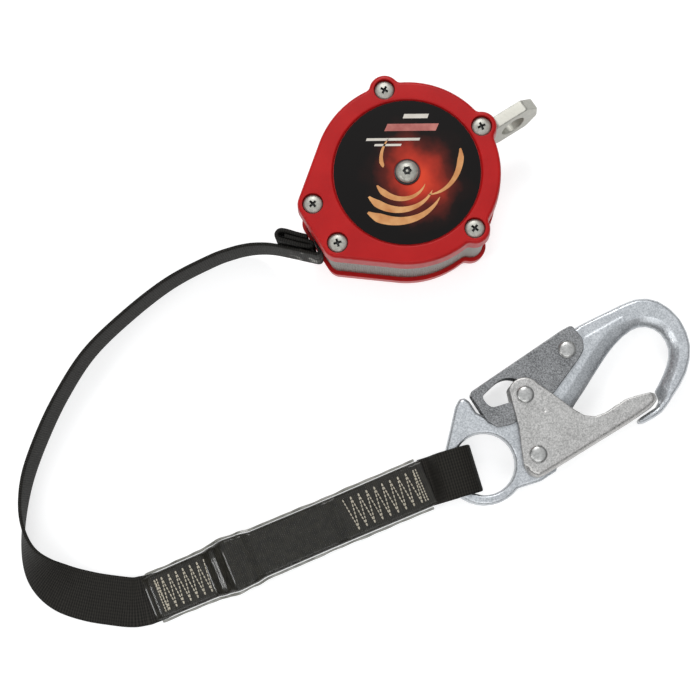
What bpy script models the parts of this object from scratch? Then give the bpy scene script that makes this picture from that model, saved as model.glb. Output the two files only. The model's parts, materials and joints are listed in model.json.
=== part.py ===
"""Self retracting lifeline, lying on its back: housing, webbing drum, strap, energy absorber and snap hook.

Every dimension below is in millimetres and becomes metres through MM. The frame is the housing's own:
the origin is on the drum's axis at the flat back of the rear cover, +Z points out of the front cover,
+Y points from the drum towards the swivel eye, and the strap leaves through the chin on the -Y side.
"""
import math

import bmesh
import bpy
from mathutils import Matrix, Vector
from mathutils.geometry import tessellate_polygon

MM = 0.001
GAP = 0.3                    # between neighbouring pieces

# Housing outline: a round body, three lugs round it and two that form the chin
BODY_R = 46.0
LUG_R = 7.9
LUG_DISTANCE = 42.9
LUG_ANGLES = (17.3, 90.0, 162.7)
LUG_FILLET = 3.0
CHIN_DISTANCE = 48.4
CHIN_SPREAD = 13.6           # degrees each side of -Y
THICKNESS = 54.0
COVER_HEIGHT = 10.2
BAND_INSET = 1.9
WALL = 3.0
FLOOR = 3.0
ROOF = 4.2
BOSS_R = 6.0
BAND_LOW = COVER_HEIGHT + GAP
BAND_HIGH = THICKNESS - COVER_HEIGHT - GAP
MIDDLE = THICKNESS / 2.0

# Cover screws and label
HEAD_R = 4.7
HEAD_RISE = 2.3
COUNTERBORE_R = 5.1
COUNTERBORE_DEPTH = 3.2
SHANK_R = 1.9
SHANK_LENGTH = 16.0
LABEL_R = 35.8
LABEL_DEPTH = 1.4
LABEL_THICK = 0.4
LABEL_HOLE_R = 6.6
BOLT_HEAD_R = 5.5

# Webbing and drum
WEB_WIDTH = 25.0
WEB_THICK = 2.0
ROLL_R = 33.5
HUB_R = 12.0
ARBOR_R = 7.5
HUB_BORE_R = 5.6
AXLE_R = 4.5
FLANGE_R = 35.2
FLANGE_THICK = 1.3
ROLL_LOW = MIDDLE - WEB_WIDTH / 2.0
ROLL_HIGH = MIDDLE + WEB_WIDTH / 2.0
FLANGE_CLEARANCE = 0.6
PLATE_THICK = 1.5
PLATE_R = 39.3
PLATE_NOTCH_R = 7.0
POST_DISTANCE = 37.3
POST_R = 1.4
POST_ANGLES = (48.0, 132.0, 328.0)
FLANGE_REAR_HIGH = ROLL_LOW - FLANGE_CLEARANCE
FLANGE_REAR_LOW = FLANGE_REAR_HIGH - FLANGE_THICK
FLANGE_FRONT_LOW = ROLL_HIGH + FLANGE_CLEARANCE
FLANGE_FRONT_HIGH = FLANGE_FRONT_LOW + FLANGE_THICK
PLATE_REAR_HIGH = FLANGE_REAR_LOW - GAP
PLATE_REAR_LOW = PLATE_REAR_HIGH - PLATE_THICK

# Locking pawls inside a toothed ring, in front of the drum
LOCK_LOW = FLANGE_FRONT_HIGH + GAP
LOCK_HIGH = LOCK_LOW + 2.7
LOCK_OUTER_R = 35.0
TOOTH_ROOT_R = 32.3
TOOTH_TIP_R = 29.6
TOOTH_COUNT = 12
TOOTH_OFFSET = 15.0          # degrees from +X to the first tooth
PAWL_DISTANCE = 20.0
PAWL_ANGLES = (60.0, 240.0)
PAWL_PIN_R = 1.7
PLATE_FRONT_LOW = LOCK_HIGH + GAP
PLATE_FRONT_HIGH = PLATE_FRONT_LOW + PLATE_THICK

# Power spring behind the drum
CASE_LOW = 4.6
CASE_HIGH = PLATE_REAR_LOW - GAP
CASE_R = 28.0
SHEET = 0.8
SPRING_TURNS = 5
SPRING_STRIP = 0.6

# Mouth, web guide and rollers in the chin
MOUTH_HALF = 5.0
ROLLER_R = 2.2
ROLLER_X = 3.5
ROLLER_Y = -43.2

# Swivel eye, leaning about its own stem
EYE_LEAN = -6.0             # degrees about +Y
EYE_WIDTH = 21.4
EYE_THICK = 6.4
EYE_BASE_Y = 49.4
EYE_TOP_Y = 76.2
EYE_CORNER = 6.4
EYE_HOLE_Y = 61.6
EYE_HOLE_R = 6.5
STEM_R = 3.6
STEM_END_Y = 34.7
POCKET_Y = 39.8

# Strap route: x, y, height of the middle, and the turn of the web from standing on edge to lying flat
STRAP_ROUTE = (
    (-9.6, -73.2, 19.0, 0), (-13.6, -77.2, 15.6, 0), (-17.7, -83.5, 13.3, 0), (-20.6, -91.5, 12.7, 0),
    (-23.2, -104.0, 12.7, 0), (-24.9, -128.0, 12.7, 0), (-22.0, -155.0, 12.7, 0), (-16.0, -181.5, 12.7, 0),
    (-4.8, -204.5, 12.7, 0), (8.3, -224.2, 12.7, 0), (22.5, -241.0, 12.7, 2), (38.0, -252.8, 12.6, 10),
    (53.0, -259.0, 11.4, 27), (66.0, -259.6, 8.0, 52), (78.0, -255.0, 4.0, 75), (88.3, -246.4, 2.2, 87),
    (97.0, -236.4, 2.3, 90), (102.9, -228.6, 2.9, 90), (105.5, -222.6, 3.4, 90))
STRAP_SECTIONS_PER_SPAN = 3

# Stopper: the strap folded over itself outside the mouth
STOPPER_OUTLINE = ((-0.8, -55.7), (-4.6, -58.2), (-11.2, -63.6), (-12.9, -66.4), (-12.4, -69.2),
                   (-10.2, -71.0), (-8.2, -72.6), (-6.6, -71.8), (-1.8, -67.6), (5.4, -61.0),
                   (7.0, -58.4), (7.2, -56.2), (6.2, -55.6))
STOPPER_HALF = 12.8

# Energy absorber pack: distance along it, half width, underside and top
PACK_START = (106.6, -220.5)
PACK_END = (131.2, -69.8)
PACK_STATIONS = (
    (0.0, 11.2, 1.2, 5.4), (4.0, 11.6, 0.9, 7.0), (32.0, 11.8, 0.9, 7.6), (38.0, 12.6, 0.9, 10.4),
    (45.0, 13.4, 0.9, 14.4), (53.0, 13.0, 0.9, 13.6), (60.0, 12.0, 0.9, 11.6), (98.0, 11.8, 0.9, 11.2),
    (106.0, 11.8, 1.2, 9.6), (146.0, 12.0, 2.4, 9.4), (152.4, 12.0, 3.2, 9.2))
SLEEVE_WALL = 0.5
SLEEVE_START = 3.0
SLEEVE_END = 149.5

# Webbing loop through the hook's eye: distance from the pack's end and height
LOOP_AXIS = (0.27, 0.963)
LOOP_SIDE = (
    (1.8, 7.6), (4.2, 12.6), (7.0, 17.4), (11.5, 18.5), (17.0, 18.2), (21.5, 15.6), (23.3, 11.4),
    (21.8, 7.0), (17.5, 4.8), (12.0, 4.4), (6.0, 4.5), (1.2, 4.7))

# Snap hook: pivots, heights and outlines
LEVER_PIVOT = (112.5, 23.9)
LOCK_PIN = (120.4, -6.5)
GATE_PIVOT = (148.8, -17.2)
HOOK_EYE = (138.7, -41.9)
HOOK_EYE_HOLE_R = 15.4
HOOK_EYE_R = 20.6
HOOK_LOW = 6.1
HOOK_HIGH = 16.7
HOOK_MIDDLE = (HOOK_LOW + HOOK_HIGH) / 2.0
HOOK_EDGE = 1.7
LEVER_SHEET = 1.7
GATE_SHEET = 2.0
RIVET_SHANK_R = 2.3
RIVET_HEAD_R = 4.3
RIVET_HEAD_RISE = 1.4
PIVOT_HOLE_R = 2.6
LEVER_HALF = HOOK_HIGH + GAP + LEVER_SHEET - HOOK_MIDDLE
GATE_HALF = LEVER_HALF + GAP + GATE_SHEET
BOW_OUTER = ((105.9, 27.0), (105.3, 36.0), (106.9, 52.0), (109.2, 67.6), (116.3, 76.8), (129.5, 80.9),
             (143.8, 77.8), (154.2, 68.2), (160.7, 55.7), (164.3, 46.8), (164.0, 37.0))
BEAK_TIP = ((162.9, 34.6), (161.2, 34.9), (160.7, 37.0), (160.5, 46.8), (158.6, 49.8), (153.6, 50.6))
BOW_INNER = ((151.2, 54.7), (146.0, 62.6), (139.4, 68.2), (130.6, 69.2), (123.8, 65.0), (121.3, 57.5),
             (123.1, 46.4), (127.4, 35.3), (134.4, 20.4), (139.5, 9.0), (145.0, 0.6))
BODY_SHOULDER = ((151.5, -6.0), (157.2, -9.4), (160.7, -13.6), (160.9, -22.4))
RING_ARC = (22.0, -142.0)    # degrees round the eye, clockwise from the shoulder to the horn
HORN = ((106.6, -38.6), (104.6, -34.9), (105.6, -32.3), (108.6, -31.3), (115.0, -31.3), (119.4, -28.4))
BODY_BACK = ((121.2, -23.0), (121.3, -16.0), (122.6, -9.0), (124.6, -3.6), (120.6, 1.6), (113.8, 6.8),
             (109.0, 13.2), (106.7, 20.0))
LEVER_OUTLINE = ((104.8, -29.3), (121.6, -29.3), (127.0, -26.6), (129.6, -19.0), (127.3, 6.4),
                 (119.8, 25.8), (117.0, 31.0), (112.2, 33.6), (103.2, 32.6), (102.8, 27.0))
LEVER_WINDOW = ((109.5, -25.4), (117.0, -24.4), (119.6, -14.2), (123.6, -9.2), (123.4, -4.6),
                (119.0, -3.2), (112.0, -4.8), (108.2, -9.0), (107.2, -14.0))
GATE_OUTLINE = ((119.0, -13.6), (132.3, -17.9), (143.9, -23.6), (150.4, -26.4), (155.2, -26.3),
                (158.4, -23.8), (159.4, -19.4), (159.9, 30.0), (159.3, 43.4), (157.6, 47.9),
                (154.6, 48.9), (152.4, 46.4), (150.2, 40.0), (148.8, 34.0), (149.2, 28.4),
                (149.2, 22.4), (148.0, 17.0), (144.8, 12.8), (139.6, 10.1), (127.8, 5.6))
GATE_LOBE_R = 8.6            # round the lock pin
GATE_LOBE_ARC = (98.0, 216.0)
GATE_SPINE_LOW = -6.0


# ---------------------------------------------------------------- scene, materials and objects

def clear_scene():
    """Remove whatever the scene holds."""
    for item in list(bpy.data.objects):
        bpy.data.objects.remove(item, do_unlink=True)


def finish(name, colour, roughness, metallic):
    """One Principled material."""
    material = bpy.data.materials.new(name)
    material.use_nodes = True
    shader = material.node_tree.nodes["Principled BSDF"]
    shader.inputs["Base Color"].default_value = (*colour, 1.0)
    shader.inputs["Roughness"].default_value = roughness
    shader.inputs["Metallic"].default_value = metallic
    return material


def add_object(name, shape, origin):
    """Put a bmesh drawn in millimetres into the scene, with its origin where asked."""
    shape.transform(Matrix.Scale(MM, 4) @ Matrix.Translation(-Vector(origin)))
    mesh = bpy.data.meshes.new(name)
    shape.to_mesh(mesh)
    shape.free()
    item = bpy.data.objects.new(name, mesh)
    item.location = Vector(origin) * MM
    bpy.context.scene.collection.objects.link(item)
    return item


def add_part(name, shape, material, origin=(0.0, 0.0, 0.0)):
    """One piece of the lifeline, smooth except at its real edges."""
    item = add_object(name, shape, origin)
    item.data.materials.append(material)
    item.data.shade_smooth()
    item.data.set_sharp_from_angle(angle=math.radians(35.0))
    return item


def cut(target, name, shape):
    """Take a shape away from a piece."""
    cutter = add_object(name, shape, (0.0, 0.0, 0.0))
    cutter.hide_render = True
    cutter.display_type = 'WIRE'
    modifier = target.modifiers.new(name, 'BOOLEAN')
    modifier.operation = 'DIFFERENCE'
    modifier.solver = 'EXACT'
    modifier.object = cutter


# ---------------------------------------------------------------- outlines

def polar(centre, radius, degrees):
    """The point at an angle on a circle."""
    angle = math.radians(degrees)
    return (centre[0] + radius * math.cos(angle), centre[1] + radius * math.sin(angle))


def arc(centre, radius, start, end, count):
    """Points along an arc, both ends included."""
    return [polar(centre, radius, start + (end - start) * i / (count - 1)) for i in range(count)]


def circle(centre, radius, count=24):
    """A closed circle, counterclockwise."""
    return arc(centre, radius, 0.0, 360.0, count + 1)[:-1]


def spline(points, per_span):
    """A smooth open curve through points of any dimension."""
    ends = [tuple(2 * a - b for a, b in zip(points[0], points[1]))]
    ends.append(tuple(2 * a - b for a, b in zip(points[-1], points[-2])))
    padded = [ends[0], *points, ends[1]]
    curve = []
    for before, start, end, after in zip(padded, padded[1:], padded[2:], padded[3:]):
        for step in range(per_span):
            t = step / per_span
            curve.append(tuple(
                0.5 * (2 * b + (c - a) * t + (2 * a - 5 * b + 4 * c - d) * t ** 2
                       + (3 * b - a - 3 * c + d) * t ** 3)
                for a, b, c, d in zip(before, start, end, after)))
    curve.append(tuple(points[-1]))
    return curve


def inset(loop, distance):
    """Move a counterclockwise loop inwards by a distance, corner by corner."""
    moved = []
    for i, point in enumerate(loop):
        here = Vector(point)
        back = (here - Vector(loop[i - 1])).normalized()
        ahead = (Vector(loop[(i + 1) % len(loop)]) - here).normalized()
        middle = Vector((-(back.y + ahead.y), back.x + ahead.x)).normalized()
        stretch = max(middle.dot(Vector((-ahead.y, ahead.x))), 0.5)
        moved.append(tuple(here + middle * (distance / stretch)))
    return moved


def lug_points(angle, body_r, lug_r, fillet):
    """A lug and its two fillets, counterclockwise round the housing."""
    centre = polar((0.0, 0.0), LUG_DISTANCE, angle)
    to_fillet = body_r + fillet
    lug_to_fillet = lug_r + fillet
    cosine = (to_fillet ** 2 + LUG_DISTANCE ** 2 - lug_to_fillet ** 2) / (2 * to_fillet * LUG_DISTANCE)
    spread = math.degrees(math.acos(cosine))
    points = []
    for side in (-1, 1):
        hollow = polar((0.0, 0.0), to_fillet, angle + side * spread)
        seen = math.degrees(math.atan2(hollow[1] - centre[1], hollow[0] - centre[0]))
        turn = (seen - angle + 180.0) % 360.0 - 180.0
        inward = angle + side * spread + 180.0
        bend = (angle + turn + 180.0 - inward + 180.0) % 360.0 - 180.0
        curve = arc(hollow, fillet, inward, inward + bend, 4)
        if side < 0:
            points += curve
            points += arc(centre, lug_r, angle + turn, angle - turn, 14)[1:-1]
        else:
            points += reversed(curve)
    return points


def housing_outline(step_in=0.0):
    """The housing seen from the front, counterclockwise, drawn in by a distance all round."""
    body_r = BODY_R - step_in
    lug_r = LUG_R - step_in
    origin = (0.0, 0.0)
    lean = math.degrees(math.acos((BODY_R - LUG_R) / CHIN_DISTANCE))
    touch = 90.0 - CHIN_SPREAD - lean
    right, top, left = (lug_points(a, body_r, lug_r, LUG_FILLET + step_in) for a in LUG_ANGLES)
    outline = right
    outline += arc(origin, body_r, LUG_ANGLES[0] + 14.0, LUG_ANGLES[1] - 14.0, 12)
    outline += top
    outline += arc(origin, body_r, LUG_ANGLES[1] + 14.0, LUG_ANGLES[2] - 14.0, 12)
    outline += left
    outline += arc(origin, body_r, LUG_ANGLES[2] + 14.0, 180.0 + touch, 10)
    for side in (-1, 1):
        centre = polar(origin, CHIN_DISTANCE, -90.0 + side * CHIN_SPREAD)
        first, last = (180.0 + touch, 270.0) if side < 0 else (270.0, 360.0 - touch)
        outline += arc(centre, lug_r, first, last, 8)
    outline += arc(origin, body_r, -touch, LUG_ANGLES[0] - 14.0, 10)
    return outline


def room_outline(room_r, boss_r, chin_depth):
    """The free room inside the housing: a circle cut by the screw bosses, with a way to the chin."""
    bosses = [(angle, LUG_DISTANCE) for angle in LUG_ANGLES]
    bosses += [(270.0 - CHIN_SPREAD, CHIN_DISTANCE), (270.0 + CHIN_SPREAD, CHIN_DISTANCE)]
    reach = math.degrees(math.asin(boss_r / CHIN_DISTANCE))
    outline = []
    for degrees in [4.0 * i for i in range(90)]:
        radius = room_r
        chin_turn = abs(degrees - 270.0)
        if chin_depth > room_r and chin_turn < CHIN_SPREAD - reach:
            radius = chin_depth / math.cos(math.radians(chin_turn))
        for angle, distance in bosses:
            turn = math.radians((degrees - angle + 180.0) % 360.0 - 180.0)
            across = distance * math.sin(turn)
            if abs(turn) < 1.0 and abs(across) < boss_r:
                entry = distance * math.cos(turn) - math.sqrt(boss_r ** 2 - across ** 2)
                radius = min(radius, entry)
        outline.append(polar((0.0, 0.0), radius, degrees))
    return outline


# ---------------------------------------------------------------- solids

def closed(shape):
    """Turn all faces of a finished bmesh outwards."""
    bmesh.ops.recalc_face_normals(shape, faces=shape.faces)
    return shape


def loft(levels):
    """A solid through levels of (height, loops); the first loop is the outside, the others are holes."""
    shape = bmesh.new()
    rows = []
    for height, loops in levels:
        rows.append([[shape.verts.new((x, y, height)) for x, y in loop] for loop in loops])
    for lower, upper in zip(rows, rows[1:]):
        for low, high in zip(lower, upper):
            for i, vertex in enumerate(low):
                j = (i + 1) % len(low)
                shape.faces.new((vertex, low[j], high[j], high[i]))
    for row in (rows[0], rows[-1]):
        corners = [vertex for loop in row for vertex in loop]
        for triangle in tessellate_polygon([[vertex.co for vertex in loop] for loop in row]):
            shape.faces.new([corners[k] for k in triangle])
    return closed(shape)


def plate(loops, low, high):
    """A flat plate with straight sides."""
    return loft([(low, loops), (high, loops)])


def rounded_plate(outline, holes, low, high, edge):
    """A plate whose rims are rounded; holes are counterclockwise loops too."""
    levels = []
    for share, rise in ((1.0, 0.0), (0.3, 0.3), (0.0, 1.0)):
        loops = [inset(outline, edge * share)]
        loops += [inset(hole, -0.5 * edge * share) for hole in holes]
        levels.append((rise * edge, loops))
    bottom = [(low + rise, loops) for rise, loops in levels]
    top = [(high - rise, loops) for rise, loops in reversed(levels)]
    return loft(bottom + top)


def lathe(profile, segments=24, ring=False):
    """Turn a profile of (radius, height) round Z; a ring's profile closes on itself."""
    shape = bmesh.new()
    rows = []
    for radius, height in profile:
        if radius == 0.0:
            rows.append([shape.verts.new((0.0, 0.0, height))])
        else:
            rows.append([shape.verts.new((x, y, height)) for x, y in circle((0.0, 0.0), radius, segments)])
    pairs = list(zip(rows, rows[1:]))
    if ring:
        pairs.append((rows[-1], rows[0]))
    for low, high in pairs:
        for i in range(segments):
            j = (i + 1) % segments
            corners = [low[i % len(low)], low[j % len(low)], high[j % len(high)], high[i % len(high)]]
            shape.faces.new(list(dict.fromkeys(corners)))
    return closed(shape)


def tube(inner, outer, low, high, segments=24):
    """A plain ring with square edges."""
    return lathe([(inner, low), (outer, low), (outer, high), (inner, high)], segments, ring=True)


def rod(radius, low, high, segments=16):
    """A plain round bar along Z."""
    return lathe([(0.0, low), (radius, low), (radius, high), (0.0, high)], segments)


def box(low, high):
    """A block between two corners."""
    outline = [(low[0], low[1]), (high[0], low[1]), (high[0], high[1]), (low[0], high[1])]
    return plate([outline], low[2], high[2])


def skin(rings, ends_meet=False):
    """A solid through rings of points; its ends are capped or joined to each other."""
    shape = bmesh.new()
    rows = [[shape.verts.new(point) for point in ring] for ring in rings]
    pairs = list(zip(rows, rows[1:]))
    if ends_meet:
        pairs.append((rows[-1], rows[0]))
    else:
        shape.faces.new(rows[0])
        shape.faces.new(rows[-1])
    for low, high in pairs:
        for i, vertex in enumerate(low):
            j = (i + 1) % len(low)
            shape.faces.new((vertex, low[j], high[j], high[i]))
    return closed(shape)


def tangents(path):
    """The direction of travel at each point of a path."""
    points = [Vector(point) for point in path]
    last = len(points) - 1
    return [(points[min(i + 1, last)] - points[max(i - 1, 0)]).normalized() for i in range(last + 1)]


def ribbon(path, acrosses, width, thickness):
    """A flat strip along a path; each across vector gives the direction of its width."""
    rings = []
    for point, ahead, across in zip(path, tangents(path), acrosses):
        side = Vector(across).normalized() * (width / 2.0)
        face = side.cross(ahead).normalized() * (thickness / 2.0)
        here = Vector(point)
        rings.append([here - side - face, here + side - face, here + side + face, here - side + face])
    return skin(rings)


def wire(path, radius, sides=6):
    """A round wire along a path that never runs along Z."""
    rings = []
    for point, ahead in zip(path, tangents(path)):
        side = ahead.cross(Vector((0.0, 0.0, 1.0))).normalized()
        rise = side.cross(ahead)
        rings.append([Vector(point) + side * x + rise * y for x, y in circle((0.0, 0.0), radius, sides)])
    return skin(rings)


def moved(shape, *steps):
    """Apply transforms to a bmesh, first one first."""
    for step in steps:
        shape.transform(step)
    return shape


def shift(x, y, z=0.0):
    """A translation."""
    return Matrix.Translation((x, y, z))


def joined(shapes):
    """Several bmeshes as one, for cutters made of separate solids."""
    whole = bmesh.new()
    for shape in shapes:
        piece = bpy.data.meshes.new("piece")
        shape.to_mesh(piece)
        shape.free()
        whole.from_mesh(piece)
        bpy.data.meshes.remove(piece)
    return whole


def screw_places():
    """The five cover screws seen from the front."""
    places = [polar((0.0, 0.0), LUG_DISTANCE, angle) for angle in LUG_ANGLES]
    places.append(polar((0.0, 0.0), CHIN_DISTANCE, 270.0 - CHIN_SPREAD))
    places.append(polar((0.0, 0.0), CHIN_DISTANCE, 270.0 + CHIN_SPREAD))
    return places


# ---------------------------------------------------------------- housing

def cover_shell():
    """The outer form of a cover, standing on its seam at height 0, with a drafted and rounded rim."""
    rim = ((0.0, 0.0), (0.5, 7.3), (1.3, 9.3), (3.2, COVER_HEIGHT))
    return loft([(height, [housing_outline(step_in)]) for step_in, height in rim])


def screw_wells():
    """Counterbore and clearance hole of each cover screw, measured down from a cover's face."""
    profile = [(0.0, 0.5), (COUNTERBORE_R, 0.5), (COUNTERBORE_R, -COUNTERBORE_DEPTH),
               (SHANK_R + 0.4, -COUNTERBORE_DEPTH), (SHANK_R + 0.4, -COVER_HEIGHT - 1.0),
               (0.0, -COVER_HEIGHT - 1.0)]
    return joined([moved(lathe(profile, 12), shift(x, y)) for x, y in screw_places()])


def cover_room(low, high):
    """The hollow of a cover."""
    return plate([room_outline(BODY_R - WALL, BOSS_R + 0.2, 0.0)], low, high)


def make_covers(red):
    """Front and rear covers; the front one holds the label in a shallow recess."""
    front = add_part("front_cover", moved(cover_shell(), shift(0, 0, THICKNESS - COVER_HEIGHT)), red)
    cut(front, "front_room", cover_room(THICKNESS - COVER_HEIGHT - 1.0, THICKNESS - ROOF))
    floor = THICKNESS - LABEL_DEPTH
    recess = [(0.0, floor), (LABEL_R + 0.4, floor), (LABEL_R + 0.4, THICKNESS - 0.7),
              (LABEL_R + 1.3, THICKNESS + 0.2), (0.0, THICKNESS + 0.2)]
    cut(front, "front_recess", lathe(recess, 48))
    cut(front, "front_wells", moved(screw_wells(), shift(0, 0, THICKNESS)))
    cut(front, "front_centre", rod(2.9, THICKNESS - ROOF - 1.0, THICKNESS + 1.0))
    turned = Matrix.Rotation(math.radians(180.0), 4, 'Y')
    rear = add_part("rear_cover", moved(cover_shell(), turned, shift(0, 0, COVER_HEIGHT)), red)
    cut(rear, "rear_room", cover_room(FLOOR, COVER_HEIGHT + 1.0))
    cut(rear, "rear_wells", moved(screw_wells(), turned))


def make_band(steel):
    """The frame band between the covers, with its tapped bosses, mouth and swivel bore."""
    room = room_outline(BODY_R - BAND_INSET - WALL, BOSS_R, CHIN_DISTANCE + 1.6)
    band = add_part("housing_band", plate([housing_outline(BAND_INSET), room], BAND_LOW, BAND_HIGH), steel)
    depth = 9.0
    holes = []
    for x, y in screw_places():
        for low, high in ((BAND_LOW - 1.0, BAND_LOW + depth), (BAND_HIGH - depth, BAND_HIGH + 1.0)):
            holes.append(moved(rod(SHANK_R + GAP, low, high, 12), shift(x, y)))
    cut(band, "band_taps", joined(holes))
    mouth_low = (-MOUTH_HALF, -60.0, ROLL_LOW - 2.0)
    mouth_high = (MOUTH_HALF, -47.5, ROLL_HIGH + 2.0)
    cut(band, "band_mouth", box(mouth_low, mouth_high))
    cut(band, "band_pocket", box((-6.6, 30.0, MIDDLE - 7.0), (6.6, POCKET_Y, MIDDLE + 7.0)))
    upright = Matrix.Rotation(math.radians(-90.0), 4, 'X')
    bore = moved(rod(STEM_R + GAP, POCKET_Y - 2.0, 60.0, 20), upright, shift(0, 0, MIDDLE))
    cut(band, "band_bore", bore)


def screw_shape():
    """A pan-head cover screw, its head's seat at height 0."""
    return lathe([(0.0, -SHANK_LENGTH), (SHANK_R - 0.5, -SHANK_LENGTH), (SHANK_R, -SHANK_LENGTH + 1.2),
                  (SHANK_R, 0.0), (HEAD_R, 0.0), (HEAD_R, 0.45 * HEAD_RISE),
                  (0.82 * HEAD_R, 0.85 * HEAD_RISE), (0.45 * HEAD_R, HEAD_RISE), (0.0, HEAD_RISE)], 12)


def make_screws(zinc):
    """Five screws from the front and five from the rear."""
    seat = THICKNESS - COUNTERBORE_DEPTH + GAP
    over = Matrix.Rotation(math.radians(180.0), 4, 'X')
    for number, (x, y) in enumerate(screw_places(), 1):
        add_part(f"cover_screw_front_{number}", moved(screw_shape(), shift(x, y, seat)), zinc, (x, y, seat))
        low = COUNTERBORE_DEPTH - GAP
        turned = moved(screw_shape(), over, shift(x, y, low))
        add_part(f"cover_screw_rear_{number}", turned, zinc, (x, y, low))


def make_label(black, steel, dark):
    """Label disc, and the centre bolt with its washer."""
    low = THICKNESS - LABEL_DEPTH + GAP
    outlines = [circle((0, 0), LABEL_R, 48), circle((0, 0), LABEL_HOLE_R, 24)]
    add_part("label_disc", plate(outlines, low, low + LABEL_THICK), black)
    add_part("axle_washer", tube(2.9, 6.2, low, low + 0.7), dark)
    seat = low + 0.7 + GAP
    head = [(0.0, 40.0), (2.2, 40.0), (2.2, seat), (BOLT_HEAD_R, seat), (BOLT_HEAD_R, seat + 0.6),
            (0.86 * BOLT_HEAD_R, seat + 1.7), (0.5 * BOLT_HEAD_R, seat + 2.5), (2.0, seat + 2.7),
            (2.0, seat + 1.4), (0.8, seat + 1.4), (0.8, seat + 2.5), (0.0, seat + 2.5)]
    add_part("axle_bolt", lathe(head, 18), steel)


# ---------------------------------------------------------------- drum, lock and power spring

def make_axle(steel, zinc):
    """Axle with its foot and clamping nut."""
    foot = FLOOR + GAP
    profile = [(0.0, foot), (9.0, foot), (9.0, foot + 1.0), (AXLE_R, foot + 1.0), (AXLE_R, 49.4),
               (2.6, 49.4), (2.6, 39.0), (0.0, 39.0)]
    add_part("axle", lathe(profile, 20), steel)
    outlines = [circle((0, 0), 8.0, 6), circle((0, 0), AXLE_R + GAP, 18)]
    add_part("axle_nut", plate(outlines, PLATE_FRONT_HIGH + GAP, 49.3), zinc)


def make_drum(plastic, steel, bronze, webbing):
    """Hub, flanges, bushes and the wound webbing; all turn about the axle."""
    hub = [(HUB_BORE_R, CASE_LOW + SHEET + GAP), (ARBOR_R, CASE_LOW + SHEET + GAP),
           (ARBOR_R, ROLL_LOW - GAP), (HUB_R, ROLL_LOW - GAP), (HUB_R, ROLL_HIGH + GAP),
           (HUB_BORE_R, ROLL_HIGH + GAP)]
    add_part("drum_hub", lathe(hub, 28, ring=True), plastic)
    rear_hole = circle((0, 0), ARBOR_R + GAP, 28)
    outlines = [circle((0, 0), FLANGE_R, 48), rear_hole]
    add_part("drum_flange_rear", plate(outlines, FLANGE_REAR_LOW, FLANGE_REAR_HIGH), steel)
    outlines = [circle((0, 0), FLANGE_R, 48), circle((0, 0), ARBOR_R + GAP, 28)]
    outlines += [circle(polar((0, 0), PAWL_DISTANCE, a), PAWL_PIN_R + GAP, 12) for a in PAWL_ANGLES]
    add_part("drum_flange_front", plate(outlines, FLANGE_FRONT_LOW, FLANGE_FRONT_HIGH), steel)
    for name, low, high in (("bush_rear", CASE_LOW + SHEET + GAP, 13.0), ("bush_front", 33.0, 39.8)):
        add_part(name, tube(AXLE_R + GAP, HUB_BORE_R - GAP, low, high, 20), bronze)
    add_part("webbing_roll", tube(HUB_R + GAP, ROLL_R, ROLL_LOW, ROLL_HIGH, 48), webbing)


def make_spring(steel, spring_steel):
    """Power spring in its case behind the drum."""
    case = [(AXLE_R + GAP, CASE_LOW), (CASE_R, CASE_LOW), (CASE_R, CASE_HIGH), (CASE_R - SHEET, CASE_HIGH),
            (CASE_R - SHEET, CASE_LOW + SHEET), (AXLE_R + GAP, CASE_LOW + SHEET)]
    add_part("spring_case", lathe(case, 32, ring=True), steel)
    low = CASE_LOW + SHEET + GAP
    high = CASE_HIGH - GAP
    inner = ARBOR_R + 1.0
    outer = CASE_R - SHEET - 1.0
    count = SPRING_TURNS * 18
    path = []
    for i in range(count + 1):
        x, y = polar((0, 0), inner + (outer - inner) * i / count, 20.0 * i)
        path.append((x, y, (low + high) / 2.0))
    upright = [(0.0, 0.0, 1.0)] * len(path)
    add_part("power_spring", ribbon(path, upright, high - low, SPRING_STRIP), spring_steel)


def make_frame(steel, zinc):
    """Side plates and the posts that tie them."""
    outlines = [room_outline(PLATE_R, PLATE_NOTCH_R, 0.0), circle((0, 0), ARBOR_R + 0.5, 28)]
    add_part("rear_side_plate", plate(outlines, PLATE_REAR_LOW, PLATE_REAR_HIGH), steel)
    outlines = [room_outline(PLATE_R, PLATE_NOTCH_R, 0.0), circle((0, 0), AXLE_R + GAP, 20)]
    add_part("front_side_plate", plate(outlines, PLATE_FRONT_LOW, PLATE_FRONT_HIGH), steel)
    for number, angle in enumerate(POST_ANGLES, 1):
        x, y = polar((0, 0), POST_DISTANCE, angle)
        post = rod(POST_R, PLATE_REAR_HIGH + GAP, PLATE_FRONT_LOW - GAP, 10)
        add_part(f"frame_post_{number}", moved(post, shift(x, y)), zinc)


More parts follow.
